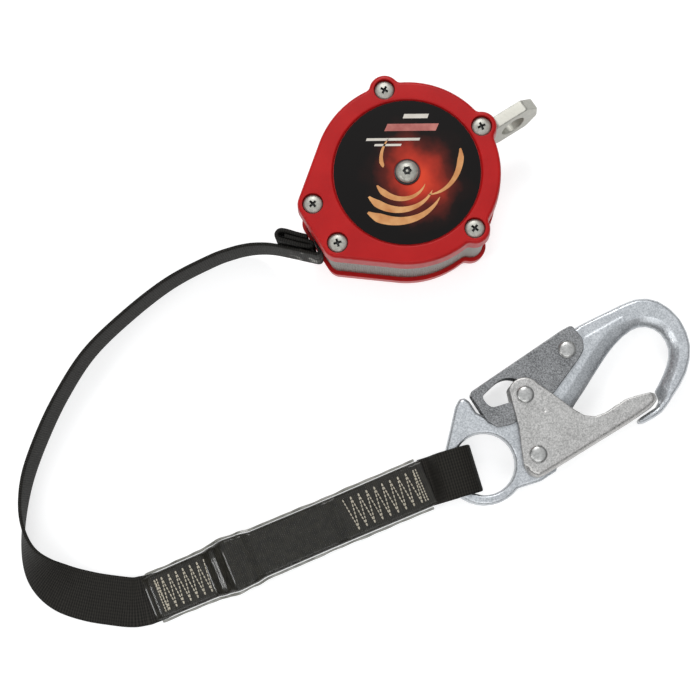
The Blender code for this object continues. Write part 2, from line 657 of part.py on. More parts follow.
def make_lock(steel, zinc, spring_steel):
    """Toothed lock ring on the frame, and two sprung pawls on the drum's front flange."""
    teeth = []
    for tooth in range(TOOTH_COUNT):
        start = TOOTH_OFFSET + 360.0 / TOOTH_COUNT * tooth
        teeth += [polar((0, 0), TOOTH_TIP_R, start), polar((0, 0), TOOTH_TIP_R, start + 5.0)]
        teeth += [polar((0, 0), TOOTH_ROOT_R, start + 8.0), polar((0, 0), TOOTH_ROOT_R, start + 27.0)]
    outlines = [circle((0, 0), LOCK_OUTER_R, 48), teeth]
    add_part("lock_ring", plate(outlines, LOCK_LOW, LOCK_HIGH), steel)
    arm = [(-3.4, -2.4), (0.0, -3.6), (3.0, -3.0), (10.5, -0.8), (15.0, 2.2), (15.4, 4.2), (13.2, 4.4),
           (8.0, 3.4), (0.0, 3.6), (-2.8, 2.6)]
    for number, angle in enumerate(PAWL_ANGLES, 1):
        centre = polar((0, 0), PAWL_DISTANCE, angle)
        place = (centre[0], centre[1], LOCK_LOW)
        turn = Matrix.Rotation(math.radians(angle - 90.0), 4, 'Z')
        pawl = moved(plate([arm, circle((0, 0), PAWL_PIN_R + GAP, 12)], 0.0, LOCK_HIGH - LOCK_LOW),
                     turn, shift(*place))
        add_part(f"pawl_{number}", pawl, steel, place)
        pin = rod(PAWL_PIN_R, FLANGE_FRONT_LOW + 0.1, LOCK_HIGH, 12)
        add_part(f"pawl_pin_{number}", moved(pin, shift(*centre)), zinc, place)
        leaf = [(-3.6, -4.6), (0.0, -5.0), (4.0, -4.6), (8.5, -2.9)]
        path = [(x, y, (LOCK_LOW + LOCK_HIGH) / 2.0) for x, y in spline(leaf, 3)]
        strip = ribbon(path, [(0.0, 0.0, 1.0)] * len(path), 2.0, 0.4)
        add_part(f"pawl_spring_{number}", moved(strip, turn, shift(*centre)), spring_steel, place)


# ---------------------------------------------------------------- swivel eye and chin

def make_swivel(steel, zinc):
    """Eye plate on a stem that turns in the band, held inside by a washer and a nut."""
    half = EYE_WIDTH / 2.0
    outline = [(-half + 2.0, EYE_BASE_Y), (half - 2.0, EYE_BASE_Y), (half, EYE_BASE_Y + 4.0),
               (half, EYE_TOP_Y - EYE_CORNER), (half - EYE_CORNER, EYE_TOP_Y),
               (-half + EYE_CORNER, EYE_TOP_Y), (-half, EYE_TOP_Y - EYE_CORNER), (-half, EYE_BASE_Y + 4.0)]
    hole = circle((0.0, EYE_HOLE_Y), EYE_HOLE_R, 22)
    upright = Matrix.Rotation(math.radians(-90.0), 4, 'X')
    on_edge = Matrix.Rotation(math.radians(90.0 + EYE_LEAN), 4, 'Y')
    place = (0.0, EYE_BASE_Y, MIDDLE)
    eye = add_part("swivel_eye", moved(rounded_plate(outline, [hole], -EYE_THICK / 2.0, EYE_THICK / 2.0, 0.6),
                                       on_edge, shift(0, 0, MIDDLE)), steel, place)
    stem = moved(rod(STEM_R, STEM_END_Y, EYE_BASE_Y + 2.0, 20), upright, shift(0, 0, MIDDLE))
    union = eye.modifiers.new("stem", 'BOOLEAN')
    union.operation = 'UNION'
    union.solver = 'EXACT'
    union.object = add_object("stem_guide", stem, (0.0, 0.0, 0.0))
    union.object.hide_render = True
    union.object.display_type = 'WIRE'
    washer = tube(STEM_R + GAP, 6.2, POCKET_Y - 1.3, POCKET_Y - GAP, 24)
    add_part("swivel_washer", moved(washer, upright, shift(0, 0, MIDDLE)), steel)
    nut = tube(STEM_R + GAP, 5.8, STEM_END_Y + 0.2, POCKET_Y - 1.6, 24)
    add_part("swivel_nut", moved(nut, upright, shift(0, 0, MIDDLE)), zinc, place)


def web_lead_path():
    """The web's way from the roll, round the right-hand roller and out of the mouth."""
    roll = ROLL_R + GAP + WEB_THICK / 2.0
    bend = ROLLER_R + GAP + WEB_THICK / 2.0
    reach = math.hypot(ROLLER_X, ROLLER_Y)
    heading = math.degrees(math.atan2(ROLLER_Y, ROLLER_X))
    leave = heading + math.degrees(math.acos((roll + bend) / reach))
    path = [polar((0, 0), roll, leave)]
    path += arc((ROLLER_X, ROLLER_Y), bend, leave + 180.0, 180.0, 6)
    path.append((ROLLER_X - bend, -54.6))
    return [(x, y, MIDDLE) for x, y in path]


def make_chin(plastic, zinc, webbing):
    """Guide rollers on their pins, the web guide in the mouth and the web between drum and mouth."""
    for name, side in (("right", 1), ("left", -1)):
        x = side * ROLLER_X
        pin = moved(rod(0.9, BAND_LOW + 0.6, BAND_HIGH - 0.6, 10), shift(x, ROLLER_Y))
        add_part(f"roller_pin_{name}", pin, zinc, (x, ROLLER_Y, MIDDLE))
        roller = moved(tube(0.9 + GAP, ROLLER_R, ROLL_LOW - 0.5, ROLL_HIGH + 0.5, 16), shift(x, ROLLER_Y))
        add_part(f"guide_roller_{name}", roller, plastic, (x, ROLLER_Y, MIDDLE))
    outer = [(-MOUTH_HALF + GAP, ROLL_LOW - 1.7), (MOUTH_HALF - GAP, ROLL_LOW - 1.7),
             (MOUTH_HALF - GAP, ROLL_HIGH + 1.7), (-MOUTH_HALF + GAP, ROLL_HIGH + 1.7)]
    inner = [(-2.4, ROLL_LOW - 0.6), (2.4, ROLL_LOW - 0.6), (2.4, ROLL_HIGH + 0.6), (-2.4, ROLL_HIGH + 0.6)]
    on_end = Matrix.Rotation(math.radians(90.0), 4, 'X')
    add_part("web_guide", moved(plate([outer, inner], 48.2, 52.7), on_end), plastic)
    path = web_lead_path()
    add_part("web_lead", ribbon(path, [(0.0, 0.0, 1.0)] * len(path), WEB_WIDTH, WEB_THICK), webbing)


# ---------------------------------------------------------------- strap, absorber and loop

def make_strap(webbing):
    """The free strap, standing on edge, then turning over until it lies flat at the pack."""
    route = spline(STRAP_ROUTE, STRAP_SECTIONS_PER_SPAN)
    path = [(x, y, z) for x, y, z, _ in route]
    acrosses = []
    for ahead, (_, _, _, turn) in zip(tangents(path), route):
        inward = Vector((-ahead.y, ahead.x, 0.0)).normalized()
        angle = math.radians(turn)
        acrosses.append(Vector((0.0, 0.0, math.cos(angle))) + inward * math.sin(angle))
    add_part("lifeline_strap", ribbon(path, acrosses, WEB_WIDTH, WEB_THICK), webbing)
    block = plate([list(reversed(STOPPER_OUTLINE))], MIDDLE - STOPPER_HALF, MIDDLE + STOPPER_HALF)
    add_part("stopper_fold", block, webbing)


def pack_ring(distance, half, low, high):
    """One cross-section of the pack: a flat block with rounded edges."""
    start = Vector(PACK_START)
    ahead = (Vector(PACK_END) - start).normalized()
    here = start + ahead * distance
    corner = min(1.6, (high - low) / 2.6)
    ring = []
    for side, height in ((-half, low + corner), (-half + corner, low), (half - corner, low),
                         (half, low + corner), (half, high - corner), (half - corner, high),
                         (-half + corner, high), (-half, high - corner)):
        ring.append((here.x - ahead.y * side, here.y + ahead.x * side, height))
    return ring


def pack_station(distance):
    """Half width, underside and top of the pack at a distance along it."""
    for first, second in zip(PACK_STATIONS, PACK_STATIONS[1:]):
        if first[0] <= distance <= second[0]:
            share = (distance - first[0]) / (second[0] - first[0])
            return [a + (b - a) * share for a, b in zip(first[1:], second[1:])]
    return list(PACK_STATIONS[-1][1:])


def make_absorber(webbing, clear):
    """Stitched absorber pack, its clear sleeve and the webbing loop that holds the hook."""
    add_part("absorber_pack", skin([pack_ring(*station) for station in PACK_STATIONS]), webbing)
    between = [station[0] for station in PACK_STATIONS if SLEEVE_START < station[0] < SLEEVE_END]
    stations = [SLEEVE_START, *between, SLEEVE_END]
    rings = []
    for spare, order in ((GAP + SLEEVE_WALL, stations), (GAP, list(reversed(stations)))):
        for distance in order:
            half, low, high = pack_station(distance)
            rings.append(pack_ring(distance, half + spare, low - spare, high + spare))
    add_part("absorber_sleeve", skin(rings, ends_meet=True), clear)
    ahead = Vector(LOOP_AXIS).normalized()
    path = []
    for distance, height in spline(LOOP_SIDE, 3):
        reach = distance + 0.6
        path.append((PACK_END[0] + ahead.x * reach, PACK_END[1] + ahead.y * reach, height))
    across = [(-ahead.y, ahead.x, 0.0)] * len(path)
    add_part("connector_loop", ribbon(path, across, WEB_WIDTH - 0.6, WEB_THICK), webbing)


# ---------------------------------------------------------------- snap hook

def hook_outline():
    """The forged body, counterclockwise: bow, beak, opening, shoulder, eye, horn and back."""
    back = [*BODY_BACK, *BOW_OUTER]
    outline = spline(back, 2)
    outline += BEAK_TIP
    outline += spline(BOW_INNER, 2)
    outline += BODY_SHOULDER
    outline += arc(HOOK_EYE, HOOK_EYE_R, *RING_ARC, 16)
    outline += HORN
    return list(reversed(outline))


def make_hook_body(steel):
    """Forged hook body with its eye and the spring slots round both pivots."""
    holes = [circle(HOOK_EYE, HOOK_EYE_HOLE_R, 28)]
    body = add_part("hook_body", rounded_plate(hook_outline(), holes, HOOK_LOW, HOOK_HIGH, HOOK_EDGE), steel)
    pins = [moved(rod(PIVOT_HOLE_R, 0.0, 30.0, 16), shift(x, y)) for x, y in (LEVER_PIVOT, GATE_PIVOT)]
    cut(body, "pivot_holes", joined(pins))
    low, high = HOOK_MIDDLE - 2.6, HOOK_MIDDLE + 2.6
    slots = [box((95.0, 16.0, low), (LEVER_PIVOT[0] + 5.2, 30.5, high)),
             box((GATE_PIVOT[0] - 5.2, -23.0, low), (170.0, -10.0, high))]
    cut(body, "spring_slots", joined(slots))


def channel(name, outline, half, sheet, material, pivot):
    """A folded channel: two side plates and the spine that joins them, drawn as one block to be cut."""
    shape = plate([outline], HOOK_MIDDLE - half, HOOK_MIDDLE + half)
    item = add_part(name, shape, material, (*pivot, HOOK_MIDDLE))
    return item, HOOK_MIDDLE - half + sheet, HOOK_MIDDLE + half - sheet


def make_lever(dark_steel):
    """Locking lever: a channel open towards the body, with the window that the lock pin runs in."""
    lever, low, high = channel("hook_lever", LEVER_OUTLINE, LEVER_HALF, LEVER_SHEET, dark_steel, LEVER_PIVOT)
    room = [(106.5, -40.0), (140.0, -40.0), (140.0, 45.0), (104.5, 45.0)]
    cut(lever, "lever_room", plate([room], low, high))
    cut(lever, "lever_window", plate([LEVER_WINDOW], -5.0, 30.0))
    cut(lever, "lever_hole", moved(rod(PIVOT_HOLE_R, -5.0, 30.0, 16), shift(*LEVER_PIVOT)))


def make_gate(bright_steel):
    """Gate: a channel open towards the bow, its spine along the outer side."""
    outline = [*GATE_OUTLINE, *arc(LOCK_PIN, GATE_LOBE_R, *GATE_LOBE_ARC, 10)]
    gate, low, high = channel("hook_gate", outline, GATE_HALF, GATE_SHEET, bright_steel, GATE_PIVOT)
    room = [(100.0, -40.0), (170.0, -40.0), (170.0, GATE_SPINE_LOW), (157.5, GATE_SPINE_LOW),
            (157.5, 43.0), (156.2, 60.0), (100.0, 60.0)]
    cut(gate, "gate_room", plate([room], low, high))
    pins = [moved(rod(PIVOT_HOLE_R, -5.0, 30.0, 16), shift(x, y)) for x, y in (LOCK_PIN, GATE_PIVOT)]
    cut(gate, "gate_holes", joined(pins))


def rivet(half):
    """A rivet with a domed head at each end, outside a channel of the given half height."""
    seat = half + GAP
    top = [(RIVET_SHANK_R, seat), (RIVET_HEAD_R, seat), (0.9 * RIVET_HEAD_R, seat + 0.5 * RIVET_HEAD_RISE),
           (0.55 * RIVET_HEAD_R, seat + 0.92 * RIVET_HEAD_RISE)]
    bottom = [(radius, -height) for radius, height in reversed(top)]
    crown = seat + RIVET_HEAD_RISE
    return lathe([(0.0, -crown), *bottom, *top, (0.0, crown)], 16)


def coil(turns, radius, wire_radius):
    """A torsion spring round a pivot."""
    count = int(turns * 10)
    pitch = 2.0 * wire_radius + 0.15
    path = []
    for i in range(count + 1):
        x, y = polar((0, 0), radius, 36.0 * i)
        path.append((x, y, pitch * (i / 10.0 - turns / 2.0)))
    return wire(path, wire_radius, 5)


def make_hook(body_steel, dark_steel, bright_steel, zinc, spring_steel):
    """Snap hook: body, lever, gate, three rivets and two springs."""
    make_hook_body(body_steel)
    make_lever(dark_steel)
    make_gate(bright_steel)
    for name, (x, y), half in (("lever_rivet", LEVER_PIVOT, LEVER_HALF),
                               ("gate_rivet", GATE_PIVOT, GATE_HALF),
                               ("lock_rivet", LOCK_PIN, GATE_HALF)):
        place = (x, y, HOOK_MIDDLE)
        add_part(name, moved(rivet(half), shift(*place)), zinc, place)
    for name, (x, y) in (("lever_spring", LEVER_PIVOT), ("gate_spring", GATE_PIVOT)):
        place = (x, y, HOOK_MIDDLE)
        add_part(name, moved(coil(3.0, 3.5, 0.5), shift(*place)), spring_steel, place)


def main():
    """Build the whole lifeline."""
    clear_scene()
    red = finish("red_plastic", (0.48, 0.017, 0.019), 0.3, 0.0)
    black_print = finish("label_print", (0.03, 0.012, 0.012), 0.35, 0.0)
    dark = finish("black_plastic", (0.02, 0.02, 0.02), 0.45, 0.0)
    plastic = finish("internal_nylon", (0.55, 0.53, 0.48), 0.5, 0.0)
    zinc = finish("zinc_plated", (0.62, 0.61, 0.58), 0.35, 1.0)
    plate_steel = finish("frame_steel", (0.5, 0.5, 0.5), 0.4, 1.0)
    band_metal = finish("band_metal", (0.3, 0.28, 0.26), 0.5, 0.8)
    hook_steel = finish("hook_steel", (0.48, 0.5, 0.53), 0.35, 1.0)
    lever_steel = finish("lever_steel", (0.26, 0.27, 0.28), 0.45, 1.0)
    gate_steel = finish("gate_steel", (0.52, 0.51, 0.49), 0.42, 1.0)
    spring_steel = finish("spring_steel", (0.3, 0.3, 0.32), 0.35, 1.0)
    bronze = finish("bush_bronze", (0.5, 0.33, 0.15), 0.4, 1.0)
    webbing = finish("black_webbing", (0.02, 0.019, 0.016), 0.8, 0.0)
    clear = finish("clear_sleeve", (0.25, 0.25, 0.25), 0.2, 0.0)
    make_covers(red)
    make_band(band_metal)
    make_screws(zinc)
    make_label(black_print, zinc, dark)
    make_axle(plate_steel, zinc)
    make_drum(plastic, plate_steel, bronze, webbing)
    make_spring(plate_steel, spring_steel)
    make_frame(plate_steel, zinc)
    make_lock(plate_steel, zinc, spring_steel)
    make_swivel(plate_steel, zinc)
    make_chin(plastic, zinc, webbing)
    make_strap(webbing)
    make_absorber(webbing, clear)
    make_hook(hook_steel, lever_steel, gate_steel, zinc, spring_steel)


main()
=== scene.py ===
"""Looks of the self retracting lifeline: every visible piece and finish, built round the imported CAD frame.

Dimensions are in millimetres and become metres through MM, but those of the camera, the lights, the floor
and the label's glow are in metres. +Z points out of the front cover, +Y to the swivel eye, and the strap
leaves the housing through the chin on the -Y side.
"""

import json
import math

import bmesh
import bpy
import numpy as np
from mathutils import Matrix, Vector, noise
from mathutils.geometry import tessellate_polygon


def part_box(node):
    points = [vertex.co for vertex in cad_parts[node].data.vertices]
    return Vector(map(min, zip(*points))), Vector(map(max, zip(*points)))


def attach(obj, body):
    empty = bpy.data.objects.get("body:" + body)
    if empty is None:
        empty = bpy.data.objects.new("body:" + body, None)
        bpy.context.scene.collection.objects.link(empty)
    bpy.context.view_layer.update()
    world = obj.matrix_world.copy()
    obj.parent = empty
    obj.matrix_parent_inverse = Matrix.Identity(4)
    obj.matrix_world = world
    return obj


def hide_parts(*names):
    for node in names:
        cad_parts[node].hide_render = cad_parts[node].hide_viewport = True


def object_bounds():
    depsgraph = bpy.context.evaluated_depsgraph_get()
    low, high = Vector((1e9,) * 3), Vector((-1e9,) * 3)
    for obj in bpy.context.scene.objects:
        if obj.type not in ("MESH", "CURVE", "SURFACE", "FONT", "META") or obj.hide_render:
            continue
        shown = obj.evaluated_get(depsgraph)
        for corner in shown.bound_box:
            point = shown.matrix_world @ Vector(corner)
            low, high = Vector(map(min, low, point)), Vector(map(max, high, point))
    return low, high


MM = 0.001
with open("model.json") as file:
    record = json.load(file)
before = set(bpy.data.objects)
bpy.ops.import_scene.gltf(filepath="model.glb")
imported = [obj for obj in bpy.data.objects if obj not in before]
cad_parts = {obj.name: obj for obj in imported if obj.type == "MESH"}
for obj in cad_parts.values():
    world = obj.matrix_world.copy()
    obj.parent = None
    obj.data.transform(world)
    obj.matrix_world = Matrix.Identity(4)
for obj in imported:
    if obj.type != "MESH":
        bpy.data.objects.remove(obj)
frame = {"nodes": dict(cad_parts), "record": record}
CAD_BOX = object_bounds()


def node_box(node):
    """Lowest and highest corner of a CAD node, in millimetres."""
    return [Vector(corner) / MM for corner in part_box(node)]


# Housing, as in the CAD
ORIGIN = (0.0, 0.0)
BODY_R = 46.0
LUG_R = 7.9
LUG_DISTANCE = 42.9
LUG_ANGLES = (17.3, 90.0, 162.7)
LUG_FILLET = 3.0
LUG_REACH = 14.0             # degrees from a lug's middle to the plain rim
CHIN_DISTANCE = 48.4
CHIN_SPREAD = 13.6
SCREW_PLACES = [(LUG_DISTANCE, angle) for angle in LUG_ANGLES]
SCREW_PLACES += [(CHIN_DISTANCE, 270.0 - CHIN_SPREAD), (CHIN_DISTANCE, 270.0 + CHIN_SPREAD)]
BAND_INSET = 1.9
WALL = 3.0
ROOF = 4.2
BOSS_R = 6.0
COVER_LOW, COVER_TOP = (corner.z for corner in node_box("front_cover"))
COVER_HEIGHT = COVER_TOP - COVER_LOW
MIDDLE_Z = 27.0              # height of the strap's mouth and of the eye's stem
RIM_R = 2.2
RIM_DRAFT = 0.4
COUNTERBORE_R = 5.15
COUNTERBORE_DEPTH = 3.2
LABEL_R = 35.8
RECESS_DEPTH = 1.4
RIB_PITCH = 1.15
RIB_DEPTH = 0.3
RIB_CLEAR = 2.6              # smooth band left round a lug
HEAD_R = 4.7
HEAD_SIDE = 0.7
HEAD_DOME = 1.4
SEAT_GAP = 0.3
SHANK_R = 1.9
SHANK_LENGTH = 16.0
BOLT_R = 5.5
LABEL_TURN = 58.0            # degrees from +X to the artwork's own horizontal

# Swivel eye
EYE_HALF = 10.7
EYE_BASE = 49.4
EYE_TOP = 76.2
EYE_CORNER = 6.4
EYE_HOLE = (0.0, 61.6)
EYE_HOLE_R = 6.5
EYE_HALF_THICK = 3.2
EYE_TURN = 84.0              # degrees from lying flat

# Webbing
WEB_WIDTH = 25.0
WEB_THICK = 2.0
SLIM_WEB = 1.8
SOFT = 60.0                  # angle in degrees up to which cloth shades smoothly
PACK_RIB = 1.05
RIM_COLUMNS = (16, 17, 18, 32, 33, 34)      # faces of the sleeve's section in its rims
STRAP_ROUTE = (
    (3.6, -53.6, 27.0, 0), (7.9, -56.6, 26.8, 0), (4.6, -60.6, 26.0, 0), (-1.7, -66.4, 24.0, 0),
    (-9.4, -73.2, 19.4, 0), (-14.2, -78.4, 15.4, 0), (-17.9, -84.4, 13.3, 0), (-20.7, -92.0, 12.7, 0),
    (-23.2, -104.0, 12.7, 0), (-24.9, -128.0, 12.7, 0), (-22.0, -155.0, 12.7, 0), (-16.0, -181.5, 12.7, 0),
    (-4.8, -204.5, 12.7, 0), (8.3, -224.2, 12.7, 0), (22.5, -241.0, 12.7, 2), (38.0, -252.8, 12.6, 10),
    (53.0, -259.0, 11.4, 27), (66.0, -259.6, 8.0, 52), (78.0, -255.0, 4.0, 75), (88.3, -246.4, 2.2, 87),
    (97.0, -236.4, 2.3, 90), (102.9, -228.6, 2.9, 90), (105.5, -222.6, 3.4, 90))
PACK_START = Vector((106.6, -220.5, 0.0))
PACK_END = Vector((131.2, -69.8, 0.0))
PACK_STATIONS = (
    (0.0, 11.2, 1.2, 5.4), (4.0, 11.6, 0.9, 7.0), (32.0, 11.8, 0.9, 7.6), (38.0, 12.6, 0.9, 10.4),
    (45.0, 13.4, 0.9, 14.4), (53.0, 13.0, 0.9, 13.6), (60.0, 12.0, 0.9, 11.6), (98.0, 11.8, 0.9, 11.2),
    (106.0, 11.8, 1.2, 9.6), (146.0, 12.0, 2.4, 9.4), (152.4, 12.0, 3.2, 9.2))
LOOP_SIDE = (
    (-3.2, 6.6), (1.8, 8.2), (4.2, 12.6), (7.0, 17.4), (11.5, 18.5), (17.0, 18.2), (21.5, 15.6), (23.3, 11.4),
    (21.8, 7.0), (17.5, 4.8), (12.0, 4.4), (6.0, 4.5), (1.2, 4.7), (-3.2, 4.6))
LOOP_AXIS = Vector((0.27, 0.963, 0.0)).normalized()
STOPPER_ROUTE = (
    (-2.4, -57.0), (-6.6, -60.9), (-10.9, -64.7), (-12.3, -67.0), (-11.5, -69.2), (-9.0, -69.5),
    (-5.4, -66.4), (-0.6, -61.9), (2.4, -58.2), (1.9, -56.6), (0.2, -57.6), (-4.0, -61.9), (-8.7, -66.2))

# Snap hook
LEVER_PIVOT = (112.5, 23.9)
LOCK_PIN = (120.4, -6.5)
GATE_PIVOT = (148.8, -17.2)
HOOK_EYE = (138.7, -41.9)
HOOK_EYE_R = 15.4
HOOK_RIM_R = 20.6
HOOK_RIM_SPAN = (-142.0, 22.0)      # degrees where the eye's outer rim is free
HOOK_LOW, HOOK_HIGH = (corner.z for corner in node_box("hook_body"))
HOOK_MIDDLE = (HOOK_LOW + HOOK_HIGH) / 2.0
GATE_HALF, LEVER_HALF = ((high.z - low.z) / 2.0 for low, high in map(node_box, ("hook_gate", "hook_lever")))
LEVER_SHEET = 1.5
LEVER_CLEAR = 0.2            # extra room between lever and gate cheeks
THROUGH = (-5.0, 30.0)       # heights that pass right through the hook
BOW_INNER = ((153.6, 50.6), (151.2, 54.7), (146.0, 62.6), (139.4, 68.2), (130.6, 69.2), (123.8, 65.0),
             (121.3, 57.5), (123.1, 46.4), (127.4, 35.3), (134.4, 20.4), (139.5, 9.0))
BOW_OUTER = ((106.7, 20.0), (105.9, 27.0), (105.3, 36.0), (106.9, 52.0), (109.2, 67.6), (116.3, 76.8),
             (129.5, 80.9), (143.8, 77.8), (154.2, 68.2), (160.7, 55.7), (164.3, 46.8), (164.0, 37.0))
LEVER_OUTLINE = ((104.8, -29.3), (121.6, -29.3), (127.0, -26.6), (129.6, -19.0), (127.3, 6.4),
                 (119.8, 25.8), (117.0, 31.0), (112.2, 33.6), (103.2, 32.6), (102.8, 27.0))
LEVER_WINDOW = ((109.5, -25.4), (117.0, -24.4), (119.6, -14.2), (123.6, -9.2), (123.4, -4.6),
                (119.0, -3.2), (112.0, -4.8), (108.2, -9.0), (107.2, -14.0))
LEVER_ROOM = ((106.5, -40.0), (140.0, -40.0), (140.0, 45.0), (104.5, 45.0))
GATE_SPINE = ((152.0, -26.6), (155.2, -26.3), (158.4, -23.8), (159.4, -19.4), (159.9, 30.0), (159.3, 43.4),
              (157.6, 47.9), (154.6, 48.9))
PIVOT_HOLE_R = 2.6
PUNCH_MARK = (132.0, -2.5)
PADS = (((110.1, 46.1), 86.9, 11.0, 2.5, 0.28), ((121.6, -27.0), 60.0, 2.0, 2.0, 0.3),
        ((139.6, -62.0), 80.0, 2.0, 2.0, 0.3))      # blank stamping pads: centre, turn, half sizes, depth


# ---- camera, light and floor

def add_object(name, data):
    """A new object in the scene."""
    new = bpy.data.objects.new(name, data)
    bpy.context.scene.collection.objects.link(new)
    return new


def make_camera():
    """The photograph's viewpoint: nearly straight above, a little towards the strap's side."""
    data = bpy.data.cameras.new("camera")
    data.lens = 71.5
    data.clip_start = 0.05
    place = Vector((0.1433, -0.0976, 0.7123))
    aim = Vector((0.0522, -0.0675, 0.0))
    up = Vector((-0.838, 0.530, 0.1295))
    back = (place - aim).normalized()
    right = up.cross(back).normalized()
    turn = Matrix((right, back.cross(right), back)).transposed()
    camera = add_object("camera", data)
    camera.matrix_world = Matrix.Translation(place) @ turn.to_4x4()
    bpy.context.scene.camera = camera


def make_sky():
    """A sky that is bright overhead and dim low down."""
    world = bpy.data.worlds.new("studio")
    bpy.context.scene.world = world
    world.use_nodes = True
    tree = world.node_tree
    background = tree.nodes["Background"].inputs
    split = tree.nodes.new("ShaderNodeSeparateXYZ")
    ramp = tree.nodes.new("ShaderNodeValToRGB")
    tree.links.new(tree.nodes.new("ShaderNodeTexCoord").outputs["Generated"], split.inputs[0])
    tree.links.new(split.outputs["Z"], ramp.inputs["Fac"])
    tree.links.new(ramp.outputs["Color"], background["Color"])
    for element, (position, tone) in zip(ramp.color_ramp.elements, ((0.45, 0.1), (0.85, 1.0))):
        element.position = position
        element.color = (0.96 * tone, 0.98 * tone, tone, 1.0)
    background["Strength"].default_value = 0.95


def make_stage():
    """Plain white floor and three soft square lights aimed at the object."""
    bpy.context.scene.view_settings.view_transform = 'Standard'
    aim = Vector((0.05, -0.07, 0.0))
    lights = (("key", (-0.75, 0.35, 0.9), 0.45, 7.0), ("fill", (0.9, -0.5, 0.9), 0.8, 4.0),
              ("glint", (0.0, -1.0, 0.85), 0.25, 2.5))
    for name, place, size, power in lights:
        data = bpy.data.lights.new(name, 'AREA')
        data.size = size
        data.energy = power
        lamp = add_object(name, data)
        lamp.location = place
        lamp.rotation_euler = (aim - Vector(place)).to_track_quat('-Z', 'Y').to_euler()
    bpy.ops.mesh.primitive_plane_add(size=60.0, location=(0.0, 0.0, CAD_BOX[0][2] - 0.0002))
    floor = bpy.context.object
    floor.name = "floor"
    paint = Finish("floor_paper", roughness=0.9, Emission_Color=(1.0, 1.0, 1.0, 1.0), Emission_Strength=0.65)
    paint.colour(paint.noise(6.0), (0.5, 0.5, 0.5), (0.54, 0.54, 0.54))
    floor.data.materials.append(paint.material)


# ---- finishes

class Finish:
    """A Principled material with the nodes that give it its grain."""

    def __init__(self, name, roughness=0.5, metallic=0.0, **fixed):
        self.material = bpy.data.materials.new(name)
        self.material.use_nodes = True
        self.tree = self.material.node_tree
        self.shader = self.tree.nodes["Principled BSDF"]
        self.shader.inputs["Roughness"].default_value = roughness
        self.shader.inputs["Metallic"].default_value = metallic
        for name, value in fixed.items():
            self.shader.inputs[name.replace("_", " ")].default_value = value
        self.place = self.node("TexCoord").outputs["Object"]

    def node(self, kind, settings=(), **inputs):
        """Add a node, set its options and feed its sockets."""
        new = self.tree.nodes.new("ShaderNode" + kind)
        for key, value in dict(settings).items():
            setattr(new, key, value)
        for key, value in inputs.items():
            socket = new.inputs[int(key[1:])] if key[0] == "i" and key[1:].isdigit() else new.inputs[key]
            if isinstance(value, bpy.types.NodeSocket):
                self.tree.links.new(value, socket)
            else:
                socket.default_value = value
        return new

    def noise(self, scale, detail=3.0, stretch=(1.0, 1.0, 1.0), source=None):
        """Cloudy noise; scale counts features in a metre."""
        mapped = self.node("Mapping", Vector=source or self.place, Scale=stretch)
        return self.node("TexNoise", Vector=mapped.outputs[0], Scale=scale, Detail=detail).outputs["Fac"]

    def maths(self, operation, first, second=0.0):
        """One arithmetic step on values."""
        return self.node("Math", {"operation": operation}, i0=first, i1=second).outputs[0]

    def spread(self, value, low, high, start=0.3, end=0.7):
        """Stretch a value over another range."""
        new = self.node("MapRange", Value=value)
        for key, number in (("From Min", start), ("From Max", end), ("To Min", low), ("To Max", high)):
            new.inputs[key].default_value = number
        return new.outputs[0]

    def mix(self, value, first, second):
        """Blend two colours by a value."""
        colours = [c if isinstance(c, bpy.types.NodeSocket) else (*c, 1.0) for c in (first, second)]
        return self.node("MixRGB", i0=value, i1=colours[0], i2=colours[1]).outputs[0]

    def feed(self, socket, output):
        """Drive one of the shader's sockets."""
        self.tree.links.new(output, self.shader.inputs[socket])

    def colour(self, value, first, second, start=0.3, end=0.7):
        """Base colour between two colours by a noisy value."""
        mixed = self.mix(self.spread(value, 0.0, 1.0, start, end), first, second)
        self.feed("Base Color", mixed)
        return mixed

    def bump(self, height, distance, strength):
        """Surface relief; distance is in millimetres."""
        new = self.node("Bump", Height=height, Distance=distance * MM, Strength=strength)
        self.feed("Normal", new.outputs[0])

    def cloth(self):
        """Where a point lies on the cloth, in millimetres: as a vector, then along and across."""
        place = self.node("Attribute", {"attribute_name": "cloth"}).outputs["Vector"]
        split = self.node("SeparateXYZ", Vector=place)
        return place, split.outputs[0], split.outputs[1]

    def wave(self, value, pitch):
        """A sine wave that repeats at a pitch."""
        return self.maths('SINE', self.maths('MULTIPLY', value, 2.0 * math.pi / pitch))

    def total(self, first, second, share):
        """A value with a share of another one added."""
        return self.maths('ADD', first, self.maths('MULTIPLY', second, share))


def red_plastic():
    """Moulded red with faint clouds, sparse fine marks and a slight skin texture."""
    paint = Finish("red_plastic", Specular_IOR_Level=0.18)
    paint.colour(paint.noise(60.0), (0.36, 0.005, 0.006), (0.43, 0.008, 0.008))
    paint.feed("Roughness", paint.spread(paint.noise(420.0), 0.34, 0.42))
    paint.bump(paint.noise(1500.0, 2.0), 0.012, 0.5)
    return paint.material


